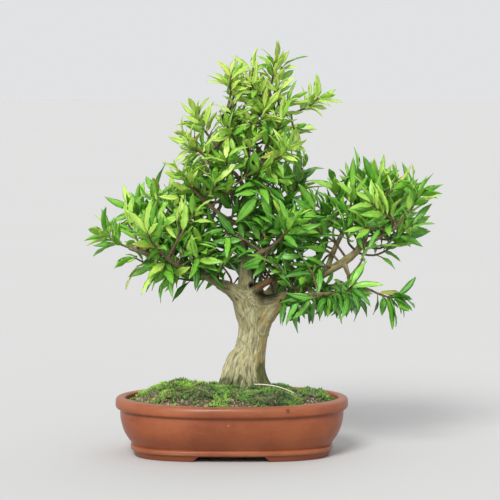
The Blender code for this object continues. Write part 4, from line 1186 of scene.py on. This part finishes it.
def leaf_trial(rng, points, station, side, turn, droop, spread):
    """One leaf on a shoot: opposite its twin, lifted to the light or hanging."""
    base, ahead = along_line(points, station)
    across = ahead.orthogonal().normalized()
    spoke = across * math.cos(turn) + ahead.cross(across) * math.sin(turn)
    lean = rng.uniform(0.65, 1.05) if station < TIP_STATION else rng.uniform(0.25, 0.8)
    lean += spread
    forward = ahead * math.cos(lean) + spoke * (side * math.sin(lean))
    forward += Vector((0, 0, 0.30 - 1.0 * droop)) + Vector([rng.uniform(-spread, spread) for _ in range(3)])
    forward.normalize()
    outward = Vector((base.x - AXIS_X, base.y - AXIS_Y, 0)).normalized()
    up = Vector((0, 0, 0.5)) + outward * 0.4 + Vector([rng.uniform(-0.8, 0.8) for _ in range(3)])
    up = (up - forward * up.dot(forward)).normalized()
    length = rng.uniform(*LEAF_LENGTH)
    return base, forward, up, length, rng.uniform(0.05, 0.22)


def shoot_plan():
    """What each shoot is called, where it reaches and its own seat, if any."""
    plan = []
    for name, points in LIMBS.items():
        if name not in BARE_LIMBS:
            tip, before = Vector(points[-1][:3]), Vector(points[-2][:3])
            tangent = (tip - before).normalized()
            reach = (tangent + Vector((0, 0, 0.25))).normalized() * TIP_REACH
            plan.append((f"shoot_{name}_tip", tip + reach, (tip, tangent, points[-1][3], True)))
    for number, (mass, centre, half, count) in enumerate(SHOOTS):
        rng = random.Random(SEED + number)
        for k, target in enumerate(spread_points(rng, centre, half, count)):
            plan.append((f"shoot_{mass}_{k + 1}", target, None))
    return plan


def grow_twig(rng, name, seats, used, target, space):
    """The first clear shoot among the best seats for a target."""
    ranked = sorted(seats, key=lambda seat: seat_cost(seat, target, used))
    for seat in ranked[:SEAT_TRIES]:
        line, out = twig_line(rng, seat, target)
        whole = tube_shape(line, 5, CLEAR)
        collar = [(line[0][0].lerp(line[1][0], 0.45), line[0][1])] + line[1:]
        free = tube_shape(collar, 5, CLEAR)
        if space.clear(name, whole, free):
            used.append(seat[0])
            space.add("twig " + name, whole, whole)
            return line, out
    return None


def grow_leaves(seed, name, line, space, stations=LEAF_STATIONS, grow=CLEAR, fits=None):
    leaves = []
    droop = min(0.9, max(0.1, (DROOP_FROM - line[-1][0].z) / DROOP_SPAN))
    for number, station in enumerate(stations):
        turn = number * math.pi / 2 + (seed % 7)
        sides = (1, -1) if station < TIP_STATION else (1,)
        for side in sides:
            rng = random.Random(seed + 2 * number + side)
            for attempt in range(LEAF_TRIES):
                leaf = leaf_trial(rng, line, station, side, turn, droop, 0.06 * attempt)
                whole = leaf_shape(leaf, grow)
                free = leaf_shape(leaf, grow, 0.16)
                if (fits is None or fits(whole[0])) and space.clear(name, whole, free):
                    space.add(name, whole, free)
                    leaves.append(leaf)
                    break
    return leaves


def hides_fork(verts):
    """Whether a leaf hangs in front of the first fork, where the knot hole and the pruned stub show."""
    left, right, low, high = FORK_WINDOW
    return any(left < x < right and low < z < high and y < FORK_FRONT for x, y, z in verts)


def within_room(verts):
    """Whether a leaf stays inside the modelled box and the little that a finer piece may add."""
    low, high = cad_low - MIDDLE, cad_high - MIDDLE
    return not hides_fork(verts) and all(
        low[axis] - ROOM_LEFT < vert[axis] < high[axis] + ROOM_LEFT for vert in verts for axis in range(3))


def grow_crown():
    """Every modelled shoot as name: [(line, leaves), ...], with the side shoots beside the nearest one."""
    space = Space()
    space.add("limbs", trunk_shape(CLEAR), trunk_shape(CLEAR))
    for points in LIMBS.values():
        line = [(Vector(point[:3]), point[3]) for point in points]
        shape = tube_shape(line, 8, 2 * CLEAR)
        space.add("limbs", shape, shape)
    seats = limb_seats()
    used, shoots, crown = [], [], {}
    for number, (name, target, own_seat) in enumerate(shoot_plan()):
        choice = [own_seat] if own_seat else seats
        shoot = grow_twig(random.Random(SEED + 100 * number), name, choice, used, target, space)
        if shoot:
            shoots.append((name, *shoot))
    for number, (name, line, out) in enumerate(shoots):
        leaves = grow_leaves(SEED + 5000 + 100 * number, name, line, space)
        crown[name] = [(line, out, [leaf for leaf in leaves if not hides_fork(leaf_shape(leaf)[0])])]
    side_lines = []
    for number, (centre, half, count) in enumerate(SIDE_SHOOTS):
        rng = random.Random(SEED + 300 + number)
        for k, target in enumerate(spread_points(rng, centre, half, count)):
            name = f"side_{number}_{k}"
            rng = random.Random(SEED + 40000 + 100 * number + k)
            shoot = grow_twig(rng, name, seats, used, target, space)
            if shoot:
                side_lines.append((name, *shoot))
    for number, (name, line, out) in enumerate(side_lines):
        leaves = grow_leaves(SEED + 70000 + 100 * number, name, line, space, grow=0.0, fits=within_room)
        middle = line[2][0]
        owner = min(shoots, key=lambda shoot: (shoot[1][2][0] - middle).length)[0]
        crown[owner].append((line, out, leaves))
    for number, (name, line, out) in enumerate(shoots):
        more = grow_leaves(SEED + 90000 + 100 * number, name, line, space, FILL_STATIONS, 0.0, within_room)
        crown[name][0][2].extend(more)
    return crown


# One leaf of length 1: how far along, and half its width there
BLADE_ROWS = ((0.00, 0.012), (0.09, 0.018), (0.20, 0.078), (0.36, 0.122), (0.54, 0.132), (0.72, 0.106),
              (0.88, 0.056), (1.00, 0.004))
BLADE_COLUMNS = (-1.0, -0.5, 0.0, 0.5, 1.0)
BLADE_BENDS = (0.08, 0.14, 0.20, 0.27, 0.35, 0.44)
BLADE_FOLD = 0.30
BLADE_THICK = 0.020


def blade_mesh(number, bend):
    """A lance-shaped leaf of length 1 along Y: folded along its midrib, thin, closed, with its own UV map."""
    rng = random.Random(900 + number)
    sway = rng.uniform(-0.09, 0.09)
    ripple = rng.uniform(0.02, 0.045)
    verts, uvs = [], []
    for lower in (False, True):
        for row, (along, half) in enumerate(BLADE_ROWS):
            for column in BLADE_COLUMNS[1:-1] if lower else BLADE_COLUMNS:
                x = half * column + sway * along * along
                z = -bend * along * along + BLADE_FOLD * half * abs(column)
                z += ripple * abs(column) * math.sin(along * 9 + column * 2 + number) * min(1.0, half * 10)
                z -= BLADE_THICK * (1 - column * column) if lower else 0.0
                verts.append((x, along, z))
                uvs.append(((column + 1) / 2, along))
    wide, narrow = len(BLADE_COLUMNS), len(BLADE_COLUMNS) - 2
    under = len(BLADE_ROWS) * wide
    faces = []
    for row in range(len(BLADE_ROWS) - 1):
        for column in range(wide - 1):
            a = row * wide + column
            faces.append((a, a + 1, a + 1 + wide, a + wide))
            low = [under + index // wide * narrow + index % wide - 1 if 0 < index % wide < wide - 1 else index
                   for index in faces[-1]]
            faces.append(tuple(reversed(low)))
    for row in (0, len(BLADE_ROWS) - 1):
        top = [row * wide + column for column in range(wide)]
        bottom = [under + row * narrow + column for column in range(narrow)]
        ring = top + list(reversed(bottom))
        faces.append(tuple(reversed(ring)) if row == 0 else tuple(ring))
    mesh = plain_mesh(f"blade_{number}", verts, faces)
    layer = mesh.uv_layers.new(name="UVMap")
    for loop in mesh.loops:
        layer.data[loop.index].uv = uvs[loop.vertex_index]
    work = bmesh.new()
    work.from_mesh(mesh)
    bmesh.ops.recalc_face_normals(work, faces=work.faces)
    work.to_mesh(mesh)
    work.free()
    smooth_shade(mesh)
    return mesh


def leafing_tree():
    """Sets a leaf on every point of a twig's mesh that is marked as a leaf's base."""
    tree, given, out = new_tree("set_leaves", (("Blades", "Collection"), ("Leaf width", "Float"),
                                               ("Width spread", "Float"), ("Seed", "Int"),
                                               ("Finish", "Material")))
    parted = add_node(tree, "GeometryNodeSeparateGeometry",
                      {"Geometry": given["Geometry"], "Selection": stored(tree, "leaf_base", "BOOLEAN")},
                      domain="POINT")
    turn = add_node(tree, "FunctionNodeEulerToRotation", {0: stored(tree, "turn", "FLOAT_VECTOR")}).outputs[0]
    least, most = (calc(tree, way, given["Leaf width"], given["Width spread"]) for way in ("SUBTRACT", "ADD"))
    wide = random_between(tree, "FLOAT", least, most, given["Seed"])
    length = stored(tree, "length")
    across = calc(tree, "MULTIPLY", length, wide)
    size = add_node(tree, "ShaderNodeCombineXYZ", {0: across, 1: length, 2: length}).outputs[0]
    set_on = shapes_on(tree, parted.outputs["Selection"], given["Blades"], stored(tree, "which", "INT"),
                       turn, size)
    real = add_node(tree, "GeometryNodeRealizeInstances", {"Geometry": set_on}).outputs[0]
    green = add_node(tree, "GeometryNodeSetMaterial", {"Geometry": real, "Material": given["Finish"]})
    tree.links.new(put_together(tree, green.outputs[0], parted.outputs["Inverted"]), out.inputs[0])
    return tree


def youth_and_painted_light(rng, base):
    """How young a leaf is: high and outer leaves are the youngest; those on the left and front, towards the
    window, are made lighter as painted light, and the lowest darker.
    """
    high = ease(base.z, 0.20, 0.44)
    # Painted light: leaves on the left, towards the window, are made lighter
    left = ease(base.x, 0.03, -0.09) * 0.20
    outer = min(1.0, math.hypot(base.x - AXIS_X, base.y - AXIS_Y) / 0.14) * 0.20
    # Painted light: leaves at the front, towards the window, are made lighter; the lowest are made darker
    front = ease(base.y, 0.03, -0.05) * 0.12 - ease(base.z, 0.215, 0.180) * 0.16
    return min(1.0, max(0.0, 0.16 + 0.68 * high + left + outer + front + rng.uniform(-0.24, 0.28)))


def full_length(rng, leaf):
    """Many of the lower leaves are longer than the modelled ones, where the allowed box has room."""
    base, forward, up, length, bend = leaf
    longer = length * (1.0 + rng.uniform(0.00, 0.34) * ease(base.z, 0.38, 0.29))
    tip = base + forward * (longer + 0.003) - up * (2.0 * bend * longer)
    return longer if within_room([tip, base + forward * longer]) else length


def shoot_mesh(name, group):
    """The twigs of one shoot and the points that its leaves are set on."""
    rng = random.Random(sum(map(ord, name)))
    shapes = []
    for line, out, _ in group:
        foot = (line[0][0] - out * TWIG_SUNK, line[0][1] * TWIG_FLARE)
        rows = drawn_through([(*place, radius) for place, radius in [foot] + line], 3)
        shapes.append(tube_shape([(Vector(row[:3]), row[3]) for row in rows], 6, 0.0))
    verts, faces = joined(shapes)
    twig_count = len(verts)
    leaves = [leaf for _, _, some in group for leaf in some]
    mesh = plain_mesh(name, verts + [leaf[0] for leaf in leaves], faces)
    blank = [0.0] * twig_count
    turns = [(0.0, 0.0, 0.0)] * twig_count
    for _, forward, up, _, _ in leaves:
        side = forward.cross(up).normalized()
        turns.append(tuple(Matrix((side, forward, up)).transposed().to_euler()))
    nearest = [min(range(len(BLADE_BENDS)), key=lambda k: abs(BLADE_BENDS[k] - 2.0 * leaf[4]))
               for leaf in leaves]
    set_numbers(mesh, "leaf_base", [False] * twig_count + [True] * len(leaves), "BOOLEAN")
    set_numbers(mesh, "turn", turns, "FLOAT_VECTOR")
    set_numbers(mesh, "length", blank + [full_length(rng, leaf) for leaf in leaves])
    set_numbers(mesh, "which", [0] * twig_count + nearest, "INT")
    # young holds each leaf's age together with the painted light on the window side
    set_numbers(mesh, "young", blank + [youth_and_painted_light(rng, leaf[0]) for leaf in leaves])
    set_numbers(mesh, "turning", blank + [rng.random() for _ in leaves])
    smooth_shade(mesh)
    return mesh


leaf_green, tree, shader = new_finish("glossy_leaf", Coat_Weight=0.20, Coat_Roughness=0.25, IOR=1.45)
uv = add_node(tree, "ShaderNodeUVMap", uv_map="UVMap").outputs[0]
from_base = axis_of(tree, uv, "Y")
from_rib = calc(tree, "ABSOLUTE", calc(tree, "SUBTRACT", axis_of(tree, uv, "X"), 0.5))
mottle = grain_of(tree, place_in(tree), 130.0, 3.0)
# young carries the leaf's age and the painted light from the window side
age = calc(tree, "ADD", marked(tree, "young"), span(tree, mottle, 0.3, 0.7, -0.10, 0.10))
blade = ramp(tree, age, (0.0, tone(40, 92, 24)), (0.35, tone(74, 150, 40)), (0.65, tone(118, 186, 54)),
             (1.0, tone(190, 220, 96)))
blade = mix(tree, span(tree, marked(tree, "turning"), 0.984, 0.996, 0.0, 0.7), blade, tone(206, 170, 62))
slanting = calc(tree, "SUBTRACT", from_base, calc(tree, "MULTIPLY", from_rib, 0.5))
veins = calc(tree, "SINE", calc(tree, "MULTIPLY", slanting, 75.0))
blade = mix(tree, span(tree, veins, 0.75, 1.0, 0.0, 0.16), blade, tone(176, 206, 104))
rib = span(tree, from_rib, 0.055, 0.022)
blade = mix(tree, calc(tree, "MULTIPLY", rib, 0.42), blade, tone(182, 208, 104))
blade = mix(tree, span(tree, from_base, 0.10, 0.0), blade, tone(150, 92, 56))
lead_to(tree, shader, Base_Color=blade, Roughness=span(tree, mottle, 0.3, 0.7, 0.28, 0.42))
raise_surface(tree, shader, calc(tree, "SUBTRACT", calc(tree, "MULTIPLY", veins, 0.10), rib), 0.0004, 0.6)

twig_bark, tree, shader = new_finish("reddish_twig", Roughness=0.62)
knots = grain_of(tree, place_in(tree), 420.0, 4.0)
lead_to(tree, shader, Base_Color=ramp(tree, knots, (0.35, tone(66, 52, 34)), (0.55, tone(100, 80, 54)),
                                      (0.75, tone(130, 114, 78))))
raise_surface(tree, shader, knots, 0.0004, 0.6)

blade_store = shape_store("blade", [blade_mesh(number, bend) for number, bend in enumerate(BLADE_BENDS)])
leafing = leafing_tree()
crown = grow_crown()
for number, (name, group) in enumerate(crown.items()):
    bare_twigs = shoot_mesh("leafy_" + name, group)
    bare_twigs.materials.append(twig_bark)
    leafy = grown_by(bare_twigs, leafing, Blades=blade_store, Leaf_width=1.0, Width_spread=0.14,
                     Seed=500 + number, Finish=leaf_green)
    set_piece("leafy_" + name, leafy, None, [name])
empty_store(blade_store)
